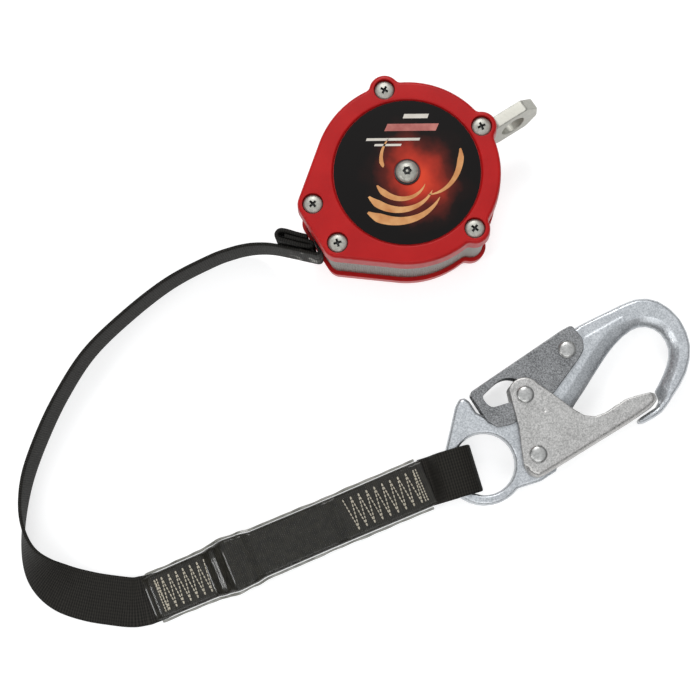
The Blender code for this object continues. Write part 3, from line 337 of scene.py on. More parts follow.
def label_film():
    """Printed black film: a warm glow round the bolt that fades outwards."""
    paint = Finish("label_film", roughness=0.45, Specular_IOR_Level=0.12)
    offset = paint.node("VectorMath", {"operation": 'SUBTRACT'}, i0=paint.place,
                        i1=(0.004, 0.003, COVER_TOP * MM)).outputs[0]
    flat = paint.node("VectorMath", {"operation": 'MULTIPLY'}, i0=offset, i1=(1.0, 1.15, 0.0)).outputs[0]
    reach = paint.node("VectorMath", {"operation": 'LENGTH'}, i0=flat).outputs["Value"]
    cloudy = paint.maths('ADD', reach, paint.spread(paint.noise(70.0), -0.004, 0.004))
    ramp = paint.node("ValToRGB", Fac=paint.spread(cloudy, 0.0, 1.0, 0.004, 0.03))
    stops = ((0.0, (0.6, 0.05, 0.02)), (0.22, (0.4, 0.028, 0.014)), (0.5, (0.09, 0.01, 0.006)),
             (0.8, (0.008, 0.003, 0.0025)), (1.0, (0.003, 0.002, 0.0018)))
    ramp.color_ramp.elements[1].position = 1.0
    for position, colour in stops[1:-1]:
        ramp.color_ramp.elements.new(position)
    for element, (position, colour) in zip(ramp.color_ramp.elements, stops):
        element.position = position
        element.color = (*colour, 1.0)
    paint.feed("Base Color", ramp.outputs["Color"])
    paint.bump(paint.noise(400.0, 2.0), 0.02, 0.3)
    return paint.material


def ink(name, first, second):
    """Printed colour with a slight mottle."""
    paint = Finish(name, roughness=0.35)
    paint.colour(paint.noise(160.0), first, second)
    return paint.material


def plated_metal(name, dark, light, rough, grain=1400.0, relief=0.03, metallic=0.8):
    """Plated steel: speckled grain, faintly cloudy tone and fine relief."""
    paint = Finish(name, metallic=metallic)
    speckle = paint.noise(grain, 4.0)
    cloudy = paint.noise(90.0, 2.0)
    value = paint.total(paint.maths('MULTIPLY', speckle, 0.82), cloudy, 0.18)
    paint.colour(value, dark, light, 0.36, 0.64)
    paint.feed("Roughness", paint.spread(speckle, rough - 0.08, rough + 0.1))
    paint.bump(speckle, relief, 0.8)
    return paint.material


def webbing(name, dark, light, rib=1.15, worn=0.0):
    """Woven polyester: ribs across, columns along and a fibrous speckle; worn adds paler patches."""
    paint = Finish(name, roughness=0.75, Specular_IOR_Level=0.2)
    cloth, along, across = paint.cloth()
    ribs = paint.maths('MULTIPLY', paint.wave(along, rib), 0.32)
    woven = paint.total(ribs, paint.wave(across, 1.6), 0.14)
    fibres = paint.noise(1.6, 4.0, (1.0, 0.35, 1.0), cloth)
    height = paint.total(paint.maths('ADD', woven, 0.5), fibres, 0.35)
    base = paint.colour(height, dark, light, 0.3, 1.1)
    if worn:
        patches = paint.spread(paint.noise(0.16, 5.0, source=cloth), 0.0, worn, 0.56, 0.66)
        share = paint.maths('MULTIPLY', patches, paint.spread(along, 1.0, 0.0, 16.0, 24.0))
        paint.feed("Base Color", paint.mix(paint.maths('MULTIPLY', share, height), base, (0.34, 0.33, 0.3)))
    paint.bump(height, 0.22, 0.9)
    return paint.material


def thread():
    """Beige twisted sewing thread."""
    paint = Finish("sewing_thread", roughness=0.7, Sheen_Weight=0.2)
    paint.colour(paint.noise(2500.0), (0.42, 0.38, 0.29), (0.7, 0.64, 0.52))
    return paint.material


def shrunk_webbing():
    """Webbing under tight clear film: near black, its ribs only just showing through a rippled gloss."""
    paint = Finish("pack_webbing", roughness=0.4, Specular_IOR_Level=0.12, Coat_Weight=0.45,
                   Coat_Roughness=0.08)
    cloth, along, _ = paint.cloth()
    ribs = paint.wave(along, PACK_RIB)
    tone = paint.total(paint.noise(0.35, 4.0, source=cloth), ribs, 0.18)
    paint.colour(tone, (0.006, 0.0055, 0.004), (0.021, 0.019, 0.013))
    ripple = paint.noise(0.13, stretch=(1.0, 0.6, 1.0), source=cloth)
    paint.bump(paint.total(ripple, ribs, 0.06), 1.6, 0.5)
    return paint.material


def shrink_film(name, dark, light, opacity):
    """Clear heat-shrunk film: glossy, rippled and slightly milky."""
    paint = Finish(name, roughness=0.16, Alpha=opacity)
    paint.colour(paint.noise(160.0), dark, light)
    paint.bump(paint.noise(110.0, 2.0, (1.0, 0.6, 1.0)), 0.5, 0.35)
    return paint.material


def plain(name, dark, light, rough, metallic=0.0, grain=900.0):
    """Moulded or turned inner pieces: two close tones with a faint relief."""
    paint = Finish(name, roughness=rough, metallic=metallic)
    value = paint.noise(grain)
    paint.colour(value, dark, light)
    paint.bump(value, 0.02, 0.5)
    return paint.material


# ---- outlines and solids

def polar(centre, radius, degrees):
    """The point at an angle on a circle."""
    angle = math.radians(degrees)
    return (centre[0] + radius * math.cos(angle), centre[1] + radius * math.sin(angle))


def arc(centre, radius, start, end, count):
    """Points along an arc, both ends included."""
    return [polar(centre, radius, start + (end - start) * i / (count - 1)) for i in range(count)]


def circle(centre, radius, count=48):
    """A closed circle, counterclockwise."""
    return arc(centre, radius, 0.0, 360.0, count + 1)[:-1]


def spline(points, per_span):
    """A smooth open curve through points of any dimension."""
    first = tuple(2 * a - b for a, b in zip(points[0], points[1]))
    last = tuple(2 * a - b for a, b in zip(points[-1], points[-2]))
    padded = [first, *points, last]
    curve = []
    for before, start, end, after in zip(padded, padded[1:], padded[2:], padded[3:]):
        for step in range(per_span):
            t = step / per_span
            curve.append(tuple(
                0.5 * (2 * b + (c - a) * t + (2 * a - 5 * b + 4 * c - d) * t ** 2
                       + (3 * b - a - 3 * c + d) * t ** 3)
                for a, b, c, d in zip(before, start, end, after)))
    curve.append(tuple(points[-1]))
    return curve


def soften(outline, radius, count=5):
    """Round each corner of a closed outline."""
    rounded = []
    for i, point in enumerate(outline):
        here = Vector(point)
        back = Vector(outline[i - 1]) - here
        ahead = Vector(outline[(i + 1) % len(outline)]) - here
        start = here + back.normalized() * min(radius, 0.45 * back.length)
        end = here + ahead.normalized() * min(radius, 0.45 * ahead.length)
        for step in range(count):
            t = step / (count - 1)
            rounded.append(tuple(start * (1 - t) ** 2 + here * (2 * t * (1 - t)) + end * t ** 2))
    return rounded


def inset(loop, distance):
    """Move a counterclockwise loop inwards by a distance, corner by corner."""
    moved_loop = []
    for i, point in enumerate(loop):
        here = Vector(point)
        back = (here - Vector(loop[i - 1])).normalized()
        ahead = (Vector(loop[(i + 1) % len(loop)]) - here).normalized()
        middle = Vector((-(back.y + ahead.y), back.x + ahead.x)).normalized()
        stretch = max(middle.dot(Vector((-ahead.y, ahead.x))), 0.5)
        moved_loop.append(tuple(here + middle * (distance / stretch)))
    return moved_loop


def resampled(loop, count):
    """A closed loop again as evenly spaced points."""
    points = np.array([*loop, loop[0]])
    steps = np.hypot(*np.diff(points, axis=0).T)
    reach = np.concatenate([[0.0], np.cumsum(steps)])
    wanted = np.linspace(0.0, reach[-1], count, endpoint=False)
    return list(zip(np.interp(wanted, reach, points[:, 0]), np.interp(wanted, reach, points[:, 1])))


def lug_points(angle, body_r, lug_r, fillet):
    """A lug and its two fillets, counterclockwise round the housing."""
    centre = polar(ORIGIN, LUG_DISTANCE, angle)
    to_fillet = body_r + fillet
    lug_to_fillet = lug_r + fillet
    cosine = (to_fillet ** 2 + LUG_DISTANCE ** 2 - lug_to_fillet ** 2) / (2 * to_fillet * LUG_DISTANCE)
    spread = math.degrees(math.acos(cosine))
    points = []
    for side in (-1, 1):
        hollow = polar(ORIGIN, to_fillet, angle + side * spread)
        seen = math.degrees(math.atan2(hollow[1] - centre[1], hollow[0] - centre[0]))
        turn = (seen - angle + 180.0) % 360.0 - 180.0
        inward = angle + side * spread + 180.0
        bend = (angle + turn + 180.0 - inward + 180.0) % 360.0 - 180.0
        curve = arc(hollow, fillet, inward, inward + bend, 8)
        if side < 0:
            points += curve + arc(centre, lug_r, angle + turn, angle - turn, 36)[1:-1]
        else:
            points += curve[::-1]
    return points


def housing_outline(step_in):
    """The housing seen from the front, counterclockwise, drawn in by a distance all round."""
    body_r = BODY_R - step_in
    lug_r = LUG_R - step_in
    lean = math.degrees(math.acos((BODY_R - LUG_R) / CHIN_DISTANCE))
    touch = 90.0 - CHIN_SPREAD - lean
    ends = [angle - LUG_REACH for angle in LUG_ANGLES[1:]] + [180.0 + touch]
    outline = []
    for angle, end, count in zip(LUG_ANGLES, ends, (30, 30, 24)):
        outline += lug_points(angle, body_r, lug_r, LUG_FILLET + step_in)
        outline += arc(ORIGIN, body_r, angle + LUG_REACH, end, count)
    for turn, first, last in ((-CHIN_SPREAD, 180.0 + touch, 270.0), (CHIN_SPREAD, 270.0, 360.0 - touch)):
        outline += arc(polar(ORIGIN, CHIN_DISTANCE, turn - 90.0), lug_r, first, last, 18)
    return outline + arc(ORIGIN, body_r, -touch, LUG_ANGLES[0] - LUG_REACH, 24)


def room_outline(room_r, boss_r, chin_depth):
    """The free room inside the housing: a circle cut by the screw bosses, with a way to the chin."""
    reach = math.degrees(math.asin(boss_r / CHIN_DISTANCE))
    outline = []
    for degrees in range(0, 360, 3):
        radius = room_r
        chin_turn = abs(degrees - 270.0)
        if chin_depth > room_r and chin_turn < CHIN_SPREAD - reach:
            radius = chin_depth / math.cos(math.radians(chin_turn))
        for distance, angle in SCREW_PLACES:
            turn = math.radians((degrees - angle + 180.0) % 360.0 - 180.0)
            across = distance * math.sin(turn)
            if abs(turn) < 1.0 and abs(across) < boss_r:
                radius = min(radius, distance * math.cos(turn) - math.sqrt(boss_r ** 2 - across ** 2))
        outline.append(polar(ORIGIN, radius, degrees))
    return outline


def rectangle(left, low, right, high):
    """A rectangle's corners, counterclockwise."""
    return [(left, low), (right, low), (right, high), (left, high)]


def dome(radius, base, rise, degrees):
    """The rounded part of a head's profile as (radius, height)."""
    turns = [math.radians(angle) for angle in degrees]
    return [(radius * math.cos(turn), base + rise * math.sin(turn)) for turn in turns]


class Solid:
    """A bmesh drawn in millimetres from loops, walls and filled faces."""

    def __init__(self):
        self.shape = bmesh.new()

    def loop(self, outline, height):
        """Vertices of an outline at a height."""
        return [self.shape.verts.new((x, y, height)) for x, y in outline]

    def ring(self, points):
        """Vertices at points in space."""
        return [self.shape.verts.new(point) for point in points]

    def wall(self, low, high):
        """Faces between two loops of the same length."""
        for i, vertex in enumerate(low):
            j = (i + 1) % len(low)
            self.shape.faces.new((vertex, low[j], high[j], high[i]))

    def walls(self, loops):
        """Faces between each loop and the next."""
        for low, high in zip(loops, loops[1:]):
            self.wall(low, high)

    def fill(self, *loops):
        """A flat face inside the first loop and outside the others."""
        corners = [vertex for loop in loops for vertex in loop]
        for triangle in tessellate_polygon([[vertex.co for vertex in loop] for loop in loops]):
            self.shape.faces.new([corners[k] for k in triangle])

    def moved(self, *steps):
        """Apply transforms, first one first."""
        for step in steps:
            self.shape.transform(step)
        return self

    def mesh(self, name):
        """The finished mesh in metres, faces out."""
        bmesh.ops.recalc_face_normals(self.shape, faces=self.shape.faces)
        self.shape.transform(Matrix.Scale(MM, 4))
        mesh = bpy.data.meshes.new(name)
        self.shape.to_mesh(mesh)
        self.shape.free()
        return mesh


def plate(loops, low, high, edge=0.0, steps=3):
    """A flat plate with rounded rims; the first loop is the outside, the others are holes."""
    solid = Solid()
    shares = [i / steps for i in range(steps + 1)] if edge else [1.0]
    rows = [(low + edge * (1 - math.cos(math.radians(90 * s))), edge * (1 - math.sin(math.radians(90 * s))))
            for s in shares]
    rows += [(low + high - height, step) for height, step in reversed(rows)]
    levels = []
    for height, step in rows:
        outlines = [inset(loops[0], step)] + [inset(hole, -step) for hole in loops[1:]]
        levels.append([solid.loop(outline, height) for outline in outlines])
    for lower, upper in zip(levels, levels[1:]):
        for rims in zip(lower, upper):
            solid.wall(*rims)
    solid.fill(*levels[0])
    solid.fill(*levels[-1])
    return solid


def lathe(profile, segments=48, wobble=None):
    """Turn a profile of (radius, height) round Z; wobble may vary a radius by its angle."""
    solid = Solid()
    rows = []
    for radius, height in profile:
        points = [(0.0, 0.0, height)]
        if radius:
            angles = [360.0 * i / segments for i in range(segments)]
            reaches = [wobble(radius, height, angle) if wobble else radius for angle in angles]
            points = [(*polar(ORIGIN, reach, angle), height) for reach, angle in zip(reaches, angles)]
        rows.append(solid.ring(points))
    for low, high in zip(rows, rows[1:]):
        for i in range(segments):
            j = (i + 1) % segments
            corners = [low[i % len(low)], low[j % len(low)], high[j % len(high)], high[i % len(high)]]
            solid.shape.faces.new(list(dict.fromkeys(corners)))
    return solid


def skin(rings, solid=None):
    """A capped shape through rings of points, on its own or added to a solid."""
    solid = solid or Solid()
    rows = [solid.ring(ring) for ring in rings]
    solid.walls(rows)
    solid.shape.faces.new(rows[0])
    solid.shape.faces.new(rows[-1])
    return solid


def shift(x, y, z):
    """A translation."""
    return Matrix.Translation((x, y, z))


def rotation(degrees, axis):
    """A turn about an axis."""
    return Matrix.Rotation(math.radians(degrees), 4, axis)


def place_mesh(name, mesh, materials, nodes=(), sharp=32.0, body="housing"):
    """A finished piece: materials, shading, body and the CAD nodes it stands for."""
    piece = add_object(name, mesh)
    for material in materials:
        mesh.materials.append(material)
    mesh.shade_smooth()
    if sharp:
        mesh.set_sharp_from_angle(angle=math.radians(sharp))
    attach(piece, body)
    if nodes:
        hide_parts(*nodes)
    return piece


def repaint(node, material):
    """Give a CAD node that stays its finish."""
    materials = frame["nodes"][node].data.materials
    materials.clear()
    materials.append(material)


def use_second_material(mesh, inside):
    """Give the second material to the faces whose middle, in millimetres, is inside."""
    for face in mesh.polygons:
        if inside(*(Vector(face.center) / MM)):
            face.material_index = 1


def even_normals(piece):
    """Keep flat faces flat beside rounded rims."""
    modifier = piece.modifiers.new("even_normals", 'WEIGHTED_NORMAL')
    modifier.keep_sharp = True
    return piece


def evaluated(target, helpers=()):
    """An object's mesh with its modifiers applied; the object and its helpers are removed."""
    graph = bpy.context.evaluated_depsgraph_get()
    mesh = bpy.data.meshes.new_from_object(target.evaluated_get(graph))
    for item in (target, *helpers):
        bpy.data.objects.remove(item, do_unlink=True)
    return mesh


def cut_mesh(solid, *cutters):
    """The solid with shapes taken away, as a mesh."""
    target = add_object("cut_target", solid.mesh("cut"))
    helpers = [add_object("cutter", cutter.mesh("cutter")) for cutter in cutters]
    for helper in helpers:
        modifier = target.modifiers.new("cut", 'BOOLEAN')
        modifier.operation = 'DIFFERENCE'
        modifier.solver = 'EXACT'
        modifier.object = helper
    return evaluated(target, helpers)


# ---- housing

def cover_solid(with_label):
    """A cover standing on its seam at height 0: drafted wall, rounded rim, screw wells and inner room."""
    solid = Solid()
    shoulder = COVER_HEIGHT - RIM_R
    rows = [(0.35, 0.0), (0.0, 0.35), (RIM_DRAFT, shoulder)]
    for degrees in range(15, 91, 15):
        turn = math.radians(degrees)
        step = RIM_DRAFT + (RIM_R - RIM_DRAFT) * (1.0 - math.cos(turn))
        rows.append((step, shoulder + RIM_R * math.sin(turn)))
    outer = [solid.loop(housing_outline(step), height) for step, height in rows]
    solid.walls(outer)
    holes = []
    for place in SCREW_PLACES:
        levels = ((COUNTERBORE_R + 0.25, COVER_HEIGHT), (COUNTERBORE_R + 0.07, COVER_HEIGHT - 0.07),
                  (COUNTERBORE_R, COVER_HEIGHT - 0.25), (COUNTERBORE_R, COVER_HEIGHT - COUNTERBORE_DEPTH))
        well = [solid.loop(circle(polar(ORIGIN, *place), radius, 36), height) for radius, height in levels]
        solid.walls(well)
        solid.fill(well[-1])
        holes.append(well[0])
    if with_label:
        levels = ((LABEL_R + 1.5, 0.0), (LABEL_R + 1.1, -0.1), (LABEL_R + 0.7, -0.45), (LABEL_R + 0.45, -0.9),
                  (LABEL_R + 0.4, -RECESS_DEPTH))
    else:
        levels = ((LABEL_R - 5.0, 0.0), (LABEL_R - 5.3, -0.1), (LABEL_R - 5.6, -0.4), (LABEL_R - 5.7, -0.6))
    recess = [solid.loop(circle(ORIGIN, radius, 120), COVER_HEIGHT + drop) for radius, drop in levels]
    solid.walls(recess)
    solid.fill(recess[-1])
    solid.fill(outer[-1], recess[0], *holes)
    room = room_outline(BODY_R - WALL, BOSS_R + 0.2, 0.0)
    inner = [solid.loop(room, height) for height in (0.0, COVER_HEIGHT - ROOF)]
    solid.walls(inner)
    solid.fill(inner[-1])
    solid.fill(outer[0], inner[0])
    return solid


def make_covers(red):
    """Front cover with its label recess, and the plainer rear cover."""
    front = cover_solid(True).moved(shift(0, 0, COVER_LOW))
    rear = cover_solid(False).moved(rotation(180.0, 'Y'), shift(0, 0, COVER_HEIGHT))
    for side, solid in (("front", front), ("rear", rear)):
        mesh = solid.mesh(f"{side}_cover")
        even_normals(place_mesh(f"cover_{side}_moulding", mesh, [red], [f"{side}_cover"]))


def make_band(metal):
    """The band between the covers, with fine upright ribs between its smooth bosses."""
    low, high = (corner.z for corner in node_box("housing_band"))
    plain_loop = housing_outline(BAND_INSET)
    length = sum((Vector(a) - Vector(b)).length for a, b in zip(plain_loop, plain_loop[1:] + plain_loop[:1]))
    count = 6 * round(length / RIB_PITCH)
    points = resampled(plain_loop, count)
    lugs = [polar(ORIGIN, LUG_DISTANCE, angle) for angle in LUG_ANGLES]
    ribbed = []
    for i, point in enumerate(points):
        here = Vector(point)
        ahead = (Vector(points[(i + 1) % count]) - Vector(points[i - 1])).normalized()
        clear = min((here - Vector(lug)).length for lug in lugs) > LUG_R + RIB_CLEAR
        depth = RIB_DEPTH * (0.5 - 0.5 * math.cos(2.0 * math.pi * i / 6.0)) if clear else 0.0
        ribbed.append(tuple(here + Vector((-ahead.y, ahead.x)) * depth))
    room = room_outline(BODY_R - BAND_INSET - WALL, BOSS_R, CHIN_DISTANCE + 1.6)
    mouth = plate([rectangle(-5.0, -60.0, 5.0, -47.5)], 12.5, 41.5)
    pocket = plate([rectangle(-6.6, 30.0, 6.6, 39.8)], 20.0, 34.0)
    bore = lathe([(0.0, 37.8), (3.9, 37.8), (3.9, 60.0), (0.0, 60.0)])
    bore.moved(rotation(-90.0, 'X'), shift(0, 0, MIDDLE_Z))
    mesh = cut_mesh(plate([ribbed, room], low, high), mouth, pocket, bore)
    place_mesh("band_ribbed", mesh, [metal], ["housing_band"], 20.0)


def in_cross(x, y, z):
    """Whether a place on a screw's head is inside its cross recess."""
    reach = math.hypot(x, y)
    surface = HEAD_SIDE + HEAD_DOME * math.sqrt(max(1.0 - (reach / HEAD_R) ** 2, 0.0))
    return reach < 2.6 and 0.2 < z < surface - 0.12


def screw_mesh():
    """A pan-head cover screw with a cross recess, its seat at height 0."""
    profile = [(0.0, -SHANK_LENGTH), (SHANK_R - 0.5, -SHANK_LENGTH), (SHANK_R, -SHANK_LENGTH + 1.2),
               (SHANK_R, 0.0), (HEAD_R - 0.15, 0.0), (HEAD_R, 0.15),
               *dome(HEAD_R, HEAD_SIDE, HEAD_DOME, range(0, 90, 10)), (0.0, HEAD_SIDE + HEAD_DOME)]
    rings = [[(x, y, height) for x, y in rectangle(-half, -wide, half, wide)]
             for half, wide, height in ((0.9, 0.45, 0.3), (2.5, 0.62, 2.7))]
    mesh = cut_mesh(lathe(profile, 40), *(skin(rings).moved(rotation(angle, 'Z')) for angle in (0.0, 90.0)))
    # The cross recess's faces get the second, near-black material: painted shade inside the recess.
    use_second_material(mesh, in_cross)
    return mesh


def make_screws(zinc, recess):
    """Five screws from the front and five from the rear, each with its own turn."""
    # recess is the near-black material that paints the shade inside the cross recesses.
    mesh = screw_mesh()
    turns = (22.0, -8.0, 31.0, 12.0, -16.0)
    sink = COUNTERBORE_DEPTH - SEAT_GAP
    for side, seat, flip in (("front", COVER_TOP - sink, 0.0), ("rear", sink, 180.0)):
        for number, (place, turn) in enumerate(zip(SCREW_PLACES, turns), 1):
            own = mesh.copy()
            spot = Vector((*polar(ORIGIN, *place), seat)) * MM
            own.transform(Matrix.Translation(spot) @ rotation(flip, 'X') @ rotation(turn, 'Z'))
            node = f"cover_screw_{side}_{number}"
            place_mesh(f"screw_{side}_{number}", own, [zinc, recess], [node])


def blade(centre, first_r, last_r, start, end, width):
    """A printed stroke that curls inwards, blunt where it starts and pointed where it ends."""
    outer = []
    inner = []
    for i in range(25):
        share = i / 24
        half = 0.5 * width * min(1.0, 6.0 * share + 0.2) * (1.0 - share) ** 0.7 + 0.06
        radius = first_r + (last_r - first_r) * share
        angle = start + (end - start) * share
        outer.append(polar(centre, radius + half, angle))
        inner.append(polar(centre, radius - half, angle))
    outline = outer + inner[::-1]
    return outline if end > start else outline[::-1]


def bar(x, y, length, width, lean):
    """A plain slanted bar."""
    half = width / 2.0
    ends = [(0.0, -half), (length, -half), (length + lean, half), (lean, half)]
    return [(x + u, y + v) for u, v in ends]


def make_label(film, amber, cream, rose):
    """The label's film, with plain strokes printed on it."""
    repaint("label_disc", film)
    top = node_box("label_disc")[1].z
    strokes = (
        ("amber_outer", amber, blade((1.0, 1.0), 29.0, 20.0, 226.0, 318.0, 5.4)),
        ("amber_middle", amber, blade((0.0, 0.5), 22.5, 15.5, 214.0, 322.0, 4.4)),
        ("amber_inner", amber, blade(ORIGIN, 16.0, 10.5, 204.0, 326.0, 3.4)),
        ("amber_return", amber, blade((2.0, -1.0), 27.0, 13.0, 28.0, -52.0, 3.6)),
        ("amber_short", amber, blade(ORIGIN, 12.0, 19.0, 168.0, 118.0, 2.6)),
        ("cream_long", cream, bar(-20.0, 16.4, 26.0, 1.3, 0.5)),
        ("cream_short", cream, bar(-16.0, 13.6, 13.0, 1.1, 0.4)),
        ("rose_band", rose, bar(-11.0, 22.4, 25.0, 3.6, 1.6)),
        ("cream_block", cream, bar(-2.0, 28.0, 12.0, 2.2, 0.8)))
    for name, material, outline in strokes:
        mesh = plate([outline], top + 0.01, top + 0.07).moved(rotation(LABEL_TURN, 'Z')).mesh(name)
        place_mesh(f"print_{name}", mesh, [material])


def make_bolt(steel, dark):
    """Button-head centre bolt with a six-lobed recess and its pin."""
    seat = node_box("axle_washer")[1].z + SEAT_GAP
    base = seat + 0.25
    rim = seat + 2.52
    profile = [(0.0, 40.0), (2.2, 40.0), (2.2, seat), (BOLT_R - 0.3, seat), (BOLT_R, base),
               *dome(BOLT_R, base, 2.45, range(8, 66, 6)), (2.1, rim), (1.9, rim - 0.2), (1.8, seat + 1.0),
               (0.75, seat + 1.0), (0.7, rim - 0.5), (0.5, rim - 0.35), (0.0, rim - 0.3)]

    def lobes(radius, height, angle):
        inside = 1.6 < radius < 2.15 and height > seat
        return radius * (1.0 + 0.13 * math.cos(math.radians(6.0 * angle))) if inside else radius

    mesh = lathe(profile, 72, lobes).mesh("axle_bolt")
    # The lobed recess's walls and floor get the second, near-black material: painted shade inside the recess.
    # The washer below gets the same material.
    use_second_material(
        mesh, lambda x, y, z: 0.72 < math.hypot(x, y) < 2.0 and seat + 0.9 < z < rim - 0.05)
    place_mesh("bolt_button_head", mesh, [steel, dark], ["axle_bolt"])
    repaint("axle_washer", dark)


def make_eye(steel):
    """Swivel eye: a flat plate with cropped corners and a round hole, on its stem."""
    outline = [(EYE_HALF - 2.0, EYE_BASE), (EYE_HALF, EYE_BASE + 4.0), (EYE_HALF, EYE_TOP - EYE_CORNER),
               (EYE_HALF - EYE_CORNER, EYE_TOP)]
    outline = soften([(2.0 - EYE_HALF, EYE_BASE), *outline, *((-x, y) for x, y in outline[:0:-1])], 0.9)
    hole = circle(EYE_HOLE, EYE_HOLE_R, 56)
    eye = plate([outline, hole], -EYE_HALF_THICK, EYE_HALF_THICK, 0.6, 4)
    stem = lathe([(0.0, 34.7), (3.2, 34.7), (3.6, 35.1), (3.6, 50.2), (0.0, 50.2)], 32)
    whole = bmesh.new()
    for solid, turn in ((eye, rotation(EYE_TURN, 'Y')), (stem, rotation(-90.0, 'X'))):
        mesh = solid.moved(turn, shift(0, 0, MIDDLE_Z)).mesh("swivel_eye")
        whole.from_mesh(mesh)
    whole.to_mesh(mesh)
    whole.free()
    even_normals(place_mesh("eye_plate", mesh, [steel], ["swivel_eye"], body="swivel"))


# ---- webbing

def tangents(path):
    """The direction of travel at each point of a path."""
    points = [Vector(point) for point in path]
    last = len(points) - 1
    return [(points[min(i + 1, last)] - points[max(i - 1, 0)]).normalized() for i in range(last + 1)]


def distances(path):
    """How far along the path each point is."""
    reach = [0.0]
    for one, other in zip(path, path[1:]):
        reach.append(reach[-1] + (Vector(other) - Vector(one)).length)
    return reach


def lay_cloth(mesh, coordinates):
    """Store how far along and across the cloth each vertex is, in millimetres."""
    attribute = mesh.attributes.new("cloth", 'FLOAT_VECTOR', 'POINT')
    attribute.data.foreach_set("vector", [value for point in coordinates for value in point])


def band_section(half, thick):
    """Cross-section of webbing with rounded selvedges: (across, out of its face)."""
    lower = [(-half, 0.0), (-half + 0.15, -0.55 * thick), (-half + 0.5, -0.88 * thick), (-half + 1.1, -thick),
             (-half / 3, -thick), (half / 3, -thick), (half - 1.1, -thick), (half - 0.5, -0.88 * thick),
             (half - 0.15, -0.55 * thick), (half, 0.0)]
    return lower + [(across, -out) for across, out in lower[-2:0:-1]]


def web_mesh(name, path, acrosses, widths, thick):
    """Webbing along a path; each across vector gives the direction of its width."""
    rings = []
    cloth = []
    for point, ahead, across, width, reach in zip(path, tangents(path), acrosses, widths, distances(path)):
        side = Vector(across).normalized()
        face = side.cross(ahead).normalized()
        section = band_section(width / 2.0, thick / 2.0)
        rings.append([Vector(point) + side * a + face * f for a, f in section])
        cloth += [(reach, a, f) for a, f in section]
    mesh = skin(rings).mesh(name)
    lay_cloth(mesh, cloth)
    return mesh


def make_strap(web):
    """The free strap: it stands on edge, turns over, lies flat and runs on through the pack."""
    route = spline(STRAP_ROUTE, 10)
    path = [Vector((x, y, z)) for x, y, z, _ in route]
    turns = [turn for *_, turn in route]
    widths = [WEB_WIDTH] * len(path)
    inner_points = 30
    for i in range(1, inner_points + 1):
        share = i / inner_points
        path.append(PACK_START + (PACK_END - PACK_START) * share + Vector((0.0, 0.0, 3.6 + 1.6 * share)))
        turns.append(90.0)
        widths.append(WEB_WIDTH - 4.0 * min(1.0, 8.0 * share))
    acrosses = []
    for ahead, turn in zip(tangents(path), turns):
        inward = Vector((-ahead.y, ahead.x, 0.0)).normalized()
        angle = math.radians(turn)
        acrosses.append(Vector((0.0, 0.0, math.cos(angle))) + inward * math.sin(angle))
    mesh = web_mesh("strap", path, acrosses, widths, SLIM_WEB)
    strap = place_mesh("strap_web", mesh, [web], ["lifeline_strap"], SOFT)
    return strap, [point * MM for point in path]


def make_stopper(web):
    """The stopper: webbing folded round on itself beside the strap, outside the mouth."""
    path = [(x, y, MIDDLE_Z) for x, y in spline(STOPPER_ROUTE, 8)]
    mesh = web_mesh("stopper", path, [(0.0, 0.0, 1.0)] * len(path), [WEB_WIDTH] * len(path), WEB_THICK)
    return place_mesh("stopper_layers", mesh, [web], ["stopper_fold"], SOFT)


def pack_station(distance):
    """Half width, underside and top of the pack at a distance along it."""
    for first, second in zip(PACK_STATIONS, PACK_STATIONS[1:]):
        if first[0] <= distance <= second[0]:
            share = (distance - first[0]) / (second[0] - first[0])
            share = share * share * (3.0 - 2.0 * share)
            return [a + (b - a) * share for a, b in zip(first[1:], second[1:])]
    return list(PACK_STATIONS[-1][1:])


def on_pack(distance, side, height):
    """A point in the frame from its place on the pack."""
    ahead = (PACK_END - PACK_START).normalized()
    return PACK_START + ahead * distance + Vector((-ahead.y * side, ahead.x * side, height))


def pack_section(half, low, high, corner):
    """Rounded section of the pack: (side, height), slightly crowned on top."""
    points = []
    for side, level, start in ((1, high - corner, 0.0), (-1, high - corner, 90.0),
                               (-1, low + corner, 180.0), (1, low + corner, 270.0)):
        points += arc((side * (half - corner), level), corner, start, start + 90.0, 6)
        if start == 0.0:
            points += [(0.5 * half, high + 0.15), (0.0, high + 0.2), (-0.5 * half, high + 0.15)]
    return points


def make_pack(web):
    """The folded, sewn webbing of the absorber."""
    rings = []
    cloth = []
    end = PACK_STATIONS[-1][0]
    for i in range(131):
        distance = end * i / 130
        half, low, high = pack_station(distance)
        section = pack_section(half, low, high, min(2.2, (high - low) / 2.4))
        rings.append([on_pack(distance, side, height) for side, height in section])
        cloth += [(distance, side, height) for side, height in section]
    mesh = skin(rings).mesh("pack")
    lay_cloth(mesh, cloth)
    return place_mesh("pack_web", mesh, [web], ["absorber_pack"], SOFT)


